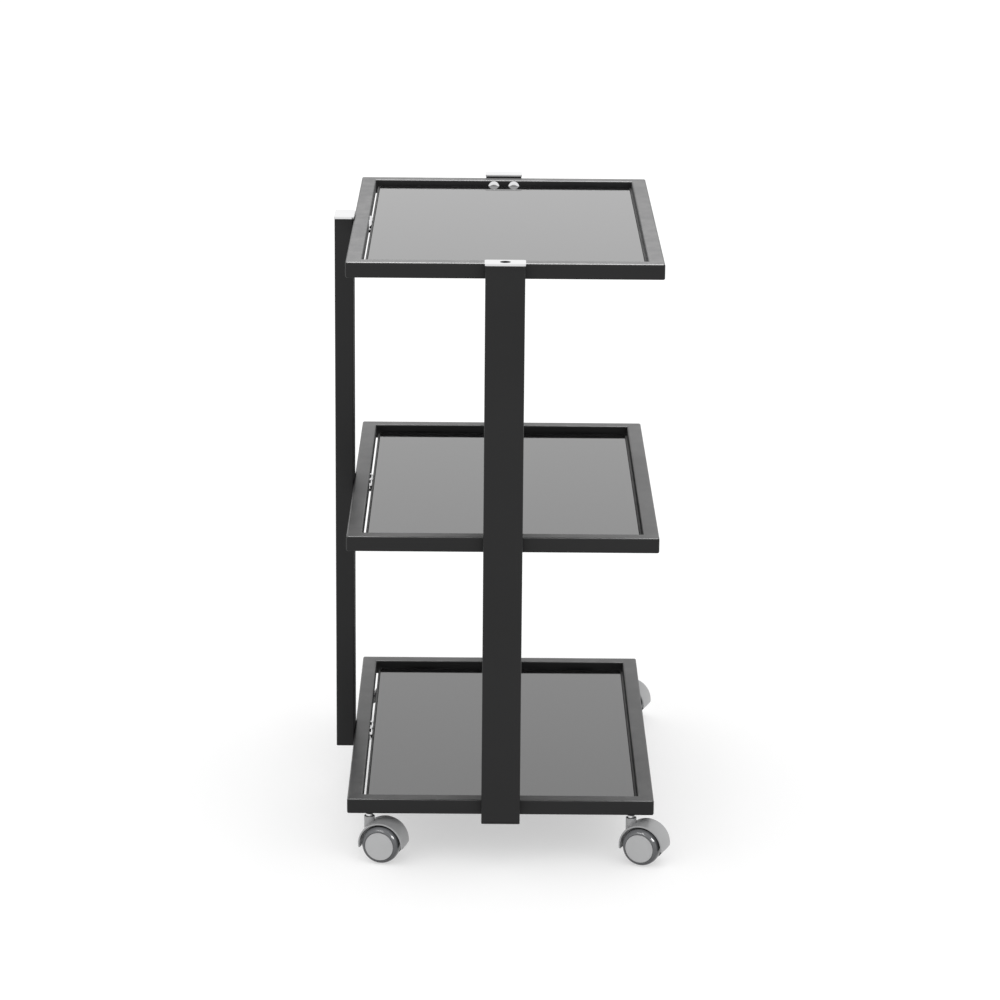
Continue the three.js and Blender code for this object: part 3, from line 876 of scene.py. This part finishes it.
def bolt_tree():
    """Sets a bolt on each point, along the point's own direction and turned by chance."""
    tree, inside, outside = new_group(
        "Bolts on seats", "GeometryNodeTree",
        [(GEOMETRY, "Geometry", None), (OBJECT_SOCKET, "Bolt", None), (WHOLE, "Turn Seed", 0),
         (MATERIAL, "Finish", None)],
        [(GEOMETRY, "Geometry", None)])
    bolt = add(tree, "GeometryNodeObjectInfo",
               {"Object": inside.outputs["Bolt"], "As Instance": True})
    outward = add(tree, "GeometryNodeInputNamedAttribute",
                  {"Name": "outward"}, data_type="FLOAT_VECTOR")
    aligned = add(tree, "FunctionNodeAlignRotationToVector",
                  {"Vector": outward.outputs[0]}, axis="Z")
    angle = chance(tree, inside.outputs["Turn Seed"], 0.0, 2 * math.pi)
    spin = add(tree, "FunctionNodeAxisAngleToRotation", {"Axis": UP, "Angle": angle})
    facing = add(tree, "FunctionNodeRotateRotation",
                 {0: aligned.outputs[0], 1: spin.outputs[0]}, rotation_space="LOCAL")
    placed = set_on(tree, inside.outputs["Geometry"], bolt.outputs["Geometry"],
                    Rotation=facing.outputs[0])
    finished_tree(tree, outside, placed, inside.outputs["Finish"])
    return tree


def pad_tree():
    """Sets a short row of round pads on each lug."""
    tree, inside, outside = new_group(
        "Pads on lugs", "GeometryNodeTree",
        [(GEOMETRY, "Geometry", None), (NUMBER, "Pad Radius", 0.005), (NUMBER, "Pad Height", 0.001),
         (NUMBER, "Spacing", 0.02), (MATERIAL, "Finish", None)],
        [(GEOMETRY, "Geometry", None)])
    step = add(tree, "ShaderNodeCombineXYZ", {"X": inside.outputs["Spacing"]})
    start = add(tree, "ShaderNodeVectorMath",
                {0: step.outputs[0], "Scale": -0.5}, operation="SCALE")
    row = add(tree, "GeometryNodeMeshLine",
              {"Count": 2, "Start Location": start.outputs[0], "Offset": step.outputs[0]})
    rows = set_on(tree, inside.outputs["Geometry"], row.outputs[0])
    places = add(tree, "GeometryNodeRealizeInstances", {"Geometry": rows})
    disc = add(tree, "GeometryNodeMeshCylinder",
               {"Vertices": 24, "Radius": inside.outputs["Pad Radius"],
                "Depth": inside.outputs["Pad Height"]})
    pads = set_on(tree, places.outputs[0], disc.outputs[0])
    finished_tree(tree, outside, pads, inside.outputs["Finish"])
    return tree


def weld_tree():
    """Lays overlapping ripples along every edge."""
    tree, inside, outside = new_group(
        "Weld ripples", "GeometryNodeTree",
        [(GEOMETRY, "Geometry", None), (NUMBER, "Bead Radius", 0.0015), (NUMBER, "Pitch", 0.0013),
         (WHOLE, "Seed", 3), (MATERIAL, "Finish", None)],
        [(GEOMETRY, "Geometry", None)])
    path = add(tree, "GeometryNodeMeshToCurve", {"Mesh": inside.outputs["Geometry"]})
    steps = add(tree, "GeometryNodeResampleCurve",
                {"Curve": path.outputs[0], "Length": inside.outputs["Pitch"]}, mode="LENGTH")
    ripple = add(tree, "GeometryNodeMeshUVSphere",
                 {"Segments": 10, "Rings": 6, "Radius": inside.outputs["Bead Radius"]})
    size = chance(tree, inside.outputs["Seed"], 0.88, 1.08)
    ripples = set_on(tree, steps.outputs[0], ripple.outputs[0], Scale=size)
    smooth = add(tree, "GeometryNodeSetShadeSmooth", {"Geometry": ripples})
    finished_tree(tree, outside, smooth.outputs[0], inside.outputs["Finish"])
    return tree


class TROLLEY_OT_build_lug_details(bpy.types.Operator):
    """Lays the weld beads of the lugs and sets the soft pads under the glass"""
    bl_idname = "trolley.build_lug_details"
    bl_label = "Lug welds and pads"

    def execute(self, context):
        sizes = context.scene.trolley_frame
        welds, pads = weld_tree(), pad_tree()
        bead_inputs = {"Bead Radius": sizes.weld_radius, "Pitch": sizes.weld_pitch, "Seed": 3,
                       "Finish": finish("Powder coat")}
        pad_inputs = {"Pad Radius": sizes.pad_radius, "Pad Height": sizes.pad_gap,
                      "Spacing": sizes.lug_width / 2, "Finish": finish("Pad rubber")}
        pad_margin = 3 * MM
        along = Vector((sizes.lug_width / 2 - sizes.weld_radius, 0, 0))
        across = sizes.lug_reach - sizes.pad_radius - pad_margin
        for tier in TIERS:
            places = lug_places(tier, sizes)
            paths = bmesh.new()
            for root, _ in places:
                for level in (0, -sizes.lug_thickness):
                    middle = root + Vector((0, 0, level))
                    ends = [paths.verts.new(middle - along), paths.verts.new(middle + along)]
                    paths.edges.new(ends)
            bead = grown(f"{tier}_lug_welds", paths, welds, bead_inputs)
            declared(bead, "root")
            spots = [root + inward * across + UP * (sizes.pad_gap / 2) for root, inward in places]
            row = grown(f"{tier}_glass_pads", points_mesh(spots), pads, pad_inputs)
            declared(row, "root")
        return {"FINISHED"}


# ---------------------------------------------------------------- glass

def glass_sheet(tier, sizes):
    """A black glass shelf with a ground arris along each edge."""
    node, arris = f"{tier}_glass", sizes.arris
    size, centre, top = box_size(node), box_centre(node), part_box(node)[1].z
    low = top - sizes.thickness
    edges = [(arris, low), (0, low + arris), (0, top - arris), (arris, top)]
    sheet = slab(size.x, size.y, sizes.corner, edges, 8, centre)
    piece(f"{tier}_glass_shelf", sheet, finish("Black glass"), "root", [node])


def glass_shade_strips(tier, sizes):
    """Dark strips in the edge gaps: a strip of painted shade fills the gap at the glass's right
    edge, and a thin black strip on the left edge narrows the bright gap there.
    """
    node, corner = f"{tier}_glass", 0.7 * MM
    size, centre = box_size(node), box_centre(node)
    left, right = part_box(node)[0].x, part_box(node)[1].x
    rail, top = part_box(f"{tier}_frame")[1].x - RAIL_SIZE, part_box(node)[1].z
    levels = round_edges(EDGE_BREAK, top - sizes.thickness, top - sizes.shade_strip_drop, 2)
    # Painted shade: the right strip fills the gap with black plastic so the gap reads dark, and the
    # left strip narrows the bright gap beside the glass.
    for name, inner, outer in (("cushion", right, rail), ("bead", left - sizes.bead, left)):
        plan = ((inner + outer) / 2, centre.y)
        strip = slab(outer - inner, size.y - 2 * sizes.corner, corner, levels, 3, plan)
        piece(f"{tier}_glass_{name}", strip, finish("Black plastic"), "root")


class TROLLEY_OT_build_glass(bpy.types.Operator):
    """Builds the three black glass shelves with the dark strips of painted shade in their edge gaps
    """
    bl_idname = "trolley.build_glass"
    bl_label = "Glass shelves"

    def execute(self, context):
        for tier in TIERS:
            glass_sheet(tier, context.scene.trolley_glass)
            glass_shade_strips(tier, context.scene.trolley_glass)
        return {"FINISHED"}


# ---------------------------------------------------------------- posts

def post_tube(side, sizes):
    """A rectangular tube, open at both ends, with its edges broken."""
    node, least_corner = f"{side}_post", 0.4 * MM
    size, centre = box_size(node), box_centre(node)
    low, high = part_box(node)[0].z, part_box(node)[1].z
    edge, inner = EDGE_BREAK, sizes.wall
    loops = []
    for inset, height in ((edge, low), (0, low + edge), (0, high - edge), (edge, high),
                          (inner, high), (inner, low)):
        plan = rounded_rectangle(
            size.x - 2 * inset, size.y - 2 * inset, max(sizes.corner - inset, least_corner), 6)
        loops.append(level_loop(plan, centre, height))
    return piece(f"{side}_post_tube", skin(loops, closed=True), finish("Powder coat"),
                 "root", [node])


def cap_plate(side, sizes):
    """A chrome plate over a stepped insert; the front one has the lamp hole."""
    node = f"{side}_post_cap"
    size, centre = box_size(node), box_centre(node)
    insert_low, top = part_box(node)[0].z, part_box(node)[1].z
    under, step = top - sizes.cap_plate, 0.2 * MM
    narrower = 2 * (sizes.wall + LOOSE_FIT)
    insert, insert_corner = box_size(f"{side}_post") - Vector((narrower, narrower, 0)), 1 * MM
    plate_corner = 3 * MM
    outline = [(insert, insert_corner, 0, insert_low), (insert, insert_corner, 0, under),
               (size, plate_corner, step, under), (size, plate_corner, 0, under + step)]
    outline += [(size, plate_corner, sizes.cap_round * (1 - math.sin(a)),
                 top - sizes.cap_round * (1 - math.cos(a))) for a in reversed(quarter_angles(5))]
    loops = []
    for base, corner, inset, height in outline:
        plan = rounded_rectangle(
            base.x - 2 * inset, base.y - 2 * inset, corner - inset / 2, 6, 8)
        loops.append(level_loop(plan, centre, height))
    if side != "front":
        return skin(loops)
    bore = sizes.socket_radius
    pocket = bore + sizes.socket_wall + LOOSE_FIT
    hole = [(bore + step, top), (bore, top - step), (bore, under), (pocket, under),
            (pocket, insert_low)]
    directions = [Vector((x - centre.x, y - centre.y)).normalized() for x, y, _ in loops[-1]]
    for radius, height in hole:
        ring = [(d.x * radius, d.y * radius) for d in directions]
        loops.append(level_loop(ring, centre, height))
    return skin(loops, closed=True)


def plug(side, sizes):
    """A black plug with a rounded flange and two ribs that grip the tube."""
    node = f"{side}_post_plug"
    size, centre = box_size(node), box_centre(node)
    low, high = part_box(node)[0].z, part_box(node)[1].z
    seat = low + sizes.plug_flange
    inset, grip, lead_in, corner = sizes.wall + LOOSE_FIT, 0.3 * MM, 0.5 * MM, 2 * MM
    edges = [(0.6 * MM, low), (0.15 * MM, low + 0.25 * MM), (0, low + 0.7 * MM), (0, seat),
             (inset, seat)]
    for rib in (seat + 1 * MM, seat + 2.6 * MM):
        edges += [(inset, rib), (inset - grip, rib + 0.3 * MM), (inset, rib + 1 * MM)]
    edges.append((inset + lead_in, high))
    return slab(size.x, size.y, corner, edges, 6, centre)


def lamp_sleeve(sizes):
    """The plain steel tube that guides a lamp's pin."""
    low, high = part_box("lamp_socket_sleeve")
    centre = box_centre("lamp_socket_sleeve")
    bore, outer, edge = sizes.socket_radius, sizes.socket_radius + sizes.socket_wall, 0.2 * MM
    profile = [(bore, low.z + edge), (bore + edge, low.z), (outer - edge, low.z),
               (outer, low.z + edge), (outer, high.z - edge), (outer - edge, high.z),
               (bore + edge, high.z), (bore, high.z - edge)]
    return moved(turned(profile, 48, closed=True), Matrix.Translation((centre.x, centre.y, 0)))


class TROLLEY_OT_build_posts(bpy.types.Operator):
    """Builds the posts with their caps, plugs and lamp socket"""
    bl_idname = "trolley.build_posts"
    bl_label = "Posts"

    def execute(self, context):
        sizes = context.scene.trolley_post
        for side in INWARD:
            post_tube(side, sizes)
            piece(f"{side}_cap_plate", cap_plate(side, sizes), finish("Chrome plate"),
                  "root", [f"{side}_post_cap"])
            piece(f"{side}_end_plug", plug(side, sizes), finish("Black plastic"),
                  "root", [f"{side}_post_plug"])
        piece("lamp_sleeve", lamp_sleeve(sizes), finish("Blued steel"),
              "root", ["lamp_socket_sleeve"])
        return {"FINISHED"}


def bolt_shape(sizes, shank):
    """A domed head with a hexagon socket, and its shank, with the seat at height nought."""
    head, height, key = sizes.head_radius, sizes.head_height, sizes.key_size
    brim, chamfer, mouth, segments = 0.9 * MM, 0.8 * MM, 0.25 * MM, 48
    land = key * 1.75
    dome = [(land + (head - land) * math.cos(a), brim + (height - brim) * math.sin(a))
            for a in quarter_angles(8)]
    profile = [(sizes.shank_radius - chamfer, -shank), (sizes.shank_radius, -shank + chamfer),
               (sizes.shank_radius, 0), (head - EDGE_BREAK, 0), (head, EDGE_BREAK), *dome]
    angles = [2 * math.pi * i / segments for i in range(segments)]
    loops = [[(r * math.cos(a), r * math.sin(a), z) for a in angles] for r, z in profile]
    sixth = math.pi / 3
    reach = [1 / math.cos((a + sixth / 2) % sixth - sixth / 2) for a in angles]
    for half_key, z in ((key + mouth, height), (key, height - mouth),
                        (key, height - sizes.key_depth)):
        loops.append([(half_key * r * math.cos(a), half_key * r * math.sin(a), z)
                      for a, r in zip(angles, reach)])
    return skin(loops)


class TROLLEY_OT_build_bolts(bpy.types.Operator):
    """Sets the domed bolts on the inner faces of the rails"""
    bl_idname = "trolley.build_bolts"
    bl_label = "Bolts"

    def execute(self, context):
        sizes = context.scene.trolley_post
        tree = bolt_tree()
        low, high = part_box("bolt_front_post_top_1")
        shank = (high.y - low.y) - sizes.head_height
        bolt = smoothed(new_object("bolt_pattern", bolt_shape(sizes, shank)))
        for side, inward in INWARD.items():
            nodes = [f"bolt_{side}_post_{tier}_{number}" for tier in TIERS for number in (1, 2)]
            seats = []
            for node in nodes:
                reach = abs(inward.dot(box_size(node))) / 2
                seats.append(box_centre(node) + inward * (reach - sizes.head_height))
            seats_mesh = points_mesh(seats, "outward", [inward] * len(seats))
            bolts = grown(f"{side}_post_bolts", seats_mesh, tree, {
                "Bolt": bolt, "Turn Seed": sizes.turn_seed, "Finish": finish("Chrome plate")})
            declared(bolts, "root", nodes)
        drop(bolt)
        return {"FINISHED"}


# ---------------------------------------------------------------- castors

def castor_matrix(castor):
    """Where a castor's own frame stands: its stem is at nought and its wheels trail along X."""
    stem = JOINTS[f"{castor}_swivel_turn"]["pos_m"]
    axis = JOINTS[f"{castor}_wheel_near_roll"]["axis"]
    swivel = Matrix.Rotation(math.atan2(-axis[0], axis[1]), 4, "Z")
    return Matrix.Translation((stem[0], stem[1], 0)) @ swivel


def wheel_trail():
    """How far the axle trails behind the stem."""
    stem = Vector(JOINTS["castor_front_left_swivel_turn"]["pos_m"])
    wheel = Vector(JOINTS["castor_front_left_wheel_near_roll"]["pos_m"])
    return (wheel - stem).to_2d().length


def hood_stations(sizes, rim, run):
    """Distances along the hood's arc at which it is cut, closer where its ends turn round."""
    body_steps = 72
    near = [sizes.hood_corner * (1 - math.cos(a)) for a in quarter_angles(8)]
    fine = [rim * (1 - math.cos(a)) for a in quarter_angles(4)[:-1]]
    ends = sorted(set(fine + [s for s in near if s > rim]))
    inner = [ends[-1] + (run - 2 * ends[-1]) * i / body_steps for i in range(1, body_steps)]
    return ends + inner + [run - s for s in reversed(ends)]


def hood_sheet(sizes):
    """The hood: a curved sheet with a rounded rim and rounded corners."""
    trail, axle = wheel_trail(), WHEEL_RADIUS
    rim, least_corner = sizes.hood_wall * 0.42, 0.02 * MM
    middle = sizes.hood_radius - sizes.hood_wall / 2
    start, end = -sizes.trailing_tip, math.pi + sizes.leading_tip
    run = middle * (end - start)
    loops = []
    for s in hood_stations(sizes, rim, run):
        to_end = min(s, run - s)
        bite = max(sizes.hood_corner - to_end, 0)
        rounding = math.sqrt(sizes.hood_corner ** 2 - bite ** 2)
        half = sizes.hood_half_width - sizes.hood_corner + rounding
        short = max(rim - to_end, 0)
        inset = rim - math.sqrt(rim ** 2 - short ** 2)
        section = rounded_rectangle(2 * (half - inset), sizes.hood_wall - 2 * inset,
                                    max(rim - inset, least_corner), 4, 6)
        angle = start + s / middle
        loop = []
        for y, lift in section:
            radius = middle + lift - sizes.hood_crown * (y / sizes.hood_half_width) ** 2
            loop.append((trail + radius * math.cos(angle), y, axle + radius * math.sin(angle)))
        loops.append(loop)
    return skin(loops)


def neck_tube(sizes):
    """The neck round the stem, with a recess at its top for the collar."""
    stem, edge = sizes.collar_radius - 0.4 * MM, 0.5 * MM
    floor, top = sizes.collar_bottom - 0.35 * MM, sizes.neck_top
    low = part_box("castor_front_left_stem")[0].z - 1 * MM
    profile = [
        (stem, low), (sizes.neck_radius, low), (sizes.neck_radius, top - edge),
        (sizes.neck_radius - edge * 0.3, top - edge * 0.3), (sizes.neck_radius - edge, top),
        (sizes.recess_radius + 0.2 * MM, top), (sizes.recess_radius, top - 0.2 * MM),
        (sizes.recess_radius, floor), (stem, floor)]
    return turned(profile, 48, closed=True)


def at_axle(side=1):
    """Turns a shape drawn along Z to lie along the axle, to one side of the castor."""
    across = Matrix.Rotation(side * math.pi / 2, 4, "X")
    return Matrix.Translation((wheel_trail(), 0, WHEEL_RADIUS)) @ across


def axle_solid(radius, half_width, segments=64):
    """A plain cylinder along the axle."""
    return moved(turned([(radius, -half_width), (radius, half_width)], segments), at_axle())


def web_plate(sizes):
    """The half disc between the wheels, which reaches into the hood's wall."""
    trail, radius = wheel_trail(), sizes.hood_radius - sizes.hood_wall / 2
    outline = arc((trail, WHEEL_RADIUS), radius, 0, math.pi, 48)
    loops = [[(x, side * sizes.web_half, z) for x, z in outline] for side in (-1, 1)]
    return skin(loops)


def castor_housing(sizes):
    """Hood, neck, web and axle boss as one moulding, in the castor's own frame."""
    wheel_room = sizes.hood_radius - sizes.hood_wall
    past_hood = sizes.hood_half_width + 1 * MM
    neck = combined(neck_tube(sizes), [axle_solid(wheel_room, past_hood)], "DIFFERENCE")
    body = combined(neck, [hood_sheet(sizes)], "UNION")
    boss = axle_solid(sizes.boss_radius, sizes.web_half, 40)
    body = combined(body, [web_plate(sizes), boss], "UNION")
    stem_room = sizes.collar_radius - 0.4 * MM
    axle_bore = axle_solid(AXLE_RADIUS + LOOSE_FIT, sizes.hood_half_width, 32)
    stem_bore = turned([(stem_room, 0), (stem_room, sizes.neck_top)], 40)
    return combined(body, [axle_bore, stem_bore], "DIFFERENCE")


def stem_shape(sizes):
    """The stem with its collar, in the castor's own frame."""
    low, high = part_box("castor_front_left_stem")
    collar, collar_low = sizes.collar_radius, sizes.collar_bottom
    collar_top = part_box("bottom_frame")[0].z - LOOSE_FIT
    pin, edge = collar - 0.75 * MM, 0.4 * MM
    profile = [
        (0, low.z), (pin - edge, low.z), (pin, low.z + edge), (pin, collar_low),
        (collar - edge, collar_low), (collar, collar_low + edge),
        (collar, collar_top - edge), (collar - edge, collar_top),
        (pin, collar_top), (pin, high.z - edge), (pin - edge, high.z), (0, high.z)]
    return turned(profile, 48)


def wheel_part(profile, side, closed=False):
    """A profile of (radius, distance from the middle) turned about the axle on one side."""
    return moved(turned(profile, 96, closed), at_axle(-side))


def tyre_profile(sizes):
    """The tyre: flat tread, round shoulder with one fine groove, and a lip round the hub cap."""
    seat, lip = sizes.hub_radius - 1.6 * MM, sizes.hub_radius + 0.55 * MM
    inner, outer, tread = sizes.tyre_inner, sizes.tyre_outer, sizes.tread_edge
    groove_at, groove_half, groove_depth = math.radians(62), math.radians(2.5), 0.3 * MM
    edge, lip_depth = 1.2 * MM, 1.6 * MM
    shoulder = []
    for angle in quarter_angles(24):
        sink = groove_depth if abs(angle - groove_at) < groove_half else 0.0
        radius = lip + (WHEEL_RADIUS - lip) * math.cos(angle)
        across = tread + (outer - tread) * math.sin(angle)
        shoulder.append((radius - sink * math.cos(angle), across - sink * math.sin(angle)))
    start = [(seat, inner), (WHEEL_RADIUS - edge, inner)]
    start += [(WHEEL_RADIUS - edge * (1 - math.sin(a)), inner + edge * (1 - math.cos(a)))
              for a in quarter_angles(4)[1:]]
    return start + shoulder + [(lip - 0.25 * MM, outer - 0.4 * MM),
                               (lip - 0.3 * MM, outer - lip_depth), (seat, outer - lip_depth)]


def hub_profile(sizes):
    """The hub cap: a flat disc with a thin raised rim."""
    radius, face, edge = sizes.hub_radius, sizes.hub_face, 0.45 * MM
    back, sunk = face - 2.6 * MM, face - 0.22 * MM
    rim = [(radius - edge * (1 - math.cos(a)), face - edge * (1 - math.sin(a)))
           for a in quarter_angles(5)]
    return [(0, back), (radius, back), *rim, (radius - 1.3 * MM, face),
            (radius - 1.6 * MM, sunk), (0, sunk)]


def core_profile(sizes):
    """The wheel's core: a dished disc with a bearing bore."""
    outer, inner = sizes.hub_radius - 1.6 * MM, sizes.tyre_inner
    bore, rim = AXLE_RADIUS + 0.35 * MM, outer - 0.02 * MM
    dish, step, back = inner + 3 * MM, inner + 0.4 * MM, sizes.hub_face - 2.7 * MM
    return [(bore, inner), (bore + 3 * MM, inner), (bore + 3.4 * MM, dish),
            (outer - 3 * MM, dish), (outer - 2.6 * MM, step), (rim, step), (rim, back),
            (bore, back)]


class TROLLEY_OT_build_castors(bpy.types.Operator):
    """Builds the stems and housings of the four castors"""
    bl_idname = "trolley.build_castors"
    bl_label = "Castor housings"

    def execute(self, context):
        sizes = context.scene.trolley_castor
        shapes = {"hood": castor_housing(sizes), "stem_pin": stem_shape(sizes)}
        for castor in CASTORS:
            place = castor_matrix(castor)
            hood, pin = (moved(shape.copy(), place) for shape in shapes.values())
            piece(f"{castor}_hood", hood, finish("Castor grey"),
                  f"{castor}_swivel", [f"{castor}_housing"])
            piece(f"{castor}_stem_pin", pin, finish("Chrome plate"),
                  "root", [f"{castor}_stem"])
            axle = frame["nodes"][f"{castor}_axle"]
            axle.material_slots[0].material = finish("Zinc plate")
        for shape in shapes.values():
            shape.free()
        return {"FINISHED"}


class TROLLEY_OT_build_wheels(bpy.types.Operator):
    """Builds the tyre, core and hub cap of each wheel"""
    bl_idname = "trolley.build_wheels"
    bl_label = "Wheels"

    def execute(self, context):
        sizes = context.scene.trolley_castor
        parts = (("tyre", tyre_profile(sizes), True, "Tyre", "castor_tyre"),
                 ("core", core_profile(sizes), True, "Castor grey", "castor_grey"),
                 ("hub_cap", hub_profile(sizes), False, "Hub cap grey", "castor_grey"))
        for castor in CASTORS:
            place = castor_matrix(castor)
            for name, side in (("near", -1), ("far", 1)):
                wheel = f"{castor}_wheel_{name}"
                for part, profile, closed, tone, slot in parts:
                    shape = moved(wheel_part(profile, side, closed), place)
                    piece(f"{castor}_{name}_{part}", shape, finish(tone), wheel, [wheel])
        return {"FINISHED"}


# ---------------------------------------------------------------- stage

def soft_box(name, place, target, size, power, lit):
    """An area light that looks at a point and lights only the named pieces."""
    light = bpy.data.lights.new(name, "AREA")
    light.shape = "RECTANGLE"
    light.size, light.size_y = size
    light.energy = power
    lamp = bpy.data.objects.new(name, light)
    lamp.location = place
    lamp.rotation_euler = (Vector(target) - Vector(place)).to_track_quat("-Z", "Y").to_euler()
    bpy.context.scene.collection.objects.link(lamp)
    receivers = bpy.data.collections.new(f"lit by {name}")
    for thing in lit:
        receivers.objects.link(bpy.data.objects[thing])
    lamp.light_linking.receiver_collection = receivers


class TROLLEY_OT_set_stage(bpy.types.Operator):
    """Lays the floor and sets the camera, the surround and the lights"""
    bl_idname = "trolley.set_stage"
    bl_label = "Stage"

    def execute(self, context):
        scene, sizes = context.scene, context.scene.trolley_stage
        half = sizes.floor_size / 2
        corners = [(-half, -half, 0), (half, -half, 0), (half, half, 0), (-half, half, 0)]
        sheet = bmesh.new()
        sheet.faces.new([sheet.verts.new(corner) for corner in corners])
        new_object("floor", sheet, finish("Pale floor"))
        world = bpy.data.worlds.new("White surround")
        world.use_nodes = True
        scene.world = world
        background = world.node_tree.nodes["Background"]
        background.inputs["Color"].default_value = (1, 1, 1, 1)
        background.inputs["Strength"].default_value = sizes.sky
        steel = [f"{tier}_shelf_frame" for tier in TIERS] + [f"{side}_post_tube" for side in INWARD]
        tyres = [f"{castor}_{wheel}_tyre" for castor in CASTORS for wheel in ("near", "far")]
        top_shelf, front_castors = (0, 0, 0.8), (0, -0.3, 0.05)
        for name, place, target, size, power, lit in (
                ("overhead_box", (0, 0.3, 2.8), top_shelf, (2.0, 2.2), sizes.overhead, steel),
                ("front_strip", (-1.2, -1.8, 2.4), front_castors, (1.8, 1.0), sizes.strip, tyres),
                ("side_box", (2.2, -1.5, 1.6), front_castors, (0.9, 0.9), sizes.side_box, tyres)):
            soft_box(name, place, target, size, power, lit)
        camera = bpy.data.cameras.new("front_camera")
        camera.sensor_width = 36
        camera.lens = sizes.camera_lens
        camera.clip_end = 2 * sizes.floor_size
        holder = bpy.data.objects.new("front_camera", camera)
        turned_to = (Matrix.Rotation(-sizes.camera_aside, 4, "Z")
                     @ Matrix.Rotation(math.pi / 2 - sizes.camera_down, 4, "X")
                     @ Matrix.Rotation(sizes.camera_roll, 4, "Z"))
        place = (sizes.camera_side, -sizes.camera_back, sizes.camera_height)
        holder.matrix_world = Matrix.Translation(place) @ turned_to
        scene.collection.objects.link(holder)
        scene.camera = holder
        scene.view_settings.view_transform = "Standard"
        return {"FINISHED"}


OPERATORS = (
    TROLLEY_OT_mix_finishes,
    TROLLEY_OT_build_frames,
    TROLLEY_OT_build_lug_details,
    TROLLEY_OT_build_glass,
    TROLLEY_OT_build_posts,
    TROLLEY_OT_build_bolts,
    TROLLEY_OT_build_castors,
    TROLLEY_OT_build_wheels,
    TROLLEY_OT_set_stage,
)


class TROLLEY_PT_sidebar(bpy.types.Panel):
    """Lists the building steps in the sidebar"""
    bl_idname = "TROLLEY_PT_sidebar"
    bl_label = "Service trolley"
    bl_space_type = "VIEW_3D"
    bl_region_type = "UI"
    bl_category = "Trolley"

    def draw(self, context):
        for operator in OPERATORS:
            self.layout.operator(operator.bl_idname)


def register():
    for kind in (*GROUPS.values(), *OPERATORS, TROLLEY_PT_sidebar):
        bpy.utils.register_class(kind)
    for name, group in GROUPS.items():
        setattr(bpy.types.Scene, name, PointerProperty(type=group))


def unregister():
    for name in GROUPS:
        delattr(bpy.types.Scene, name)
    for kind in reversed((*GROUPS.values(), *OPERATORS, TROLLEY_PT_sidebar)):
        bpy.utils.unregister_class(kind)


def main():
    """Registers the add-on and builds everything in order."""
    register()
    for operator in OPERATORS:
        category, name = operator.bl_idname.split(".")
        getattr(getattr(bpy.ops, category), name)()


if __name__ == "__main__":
    main()
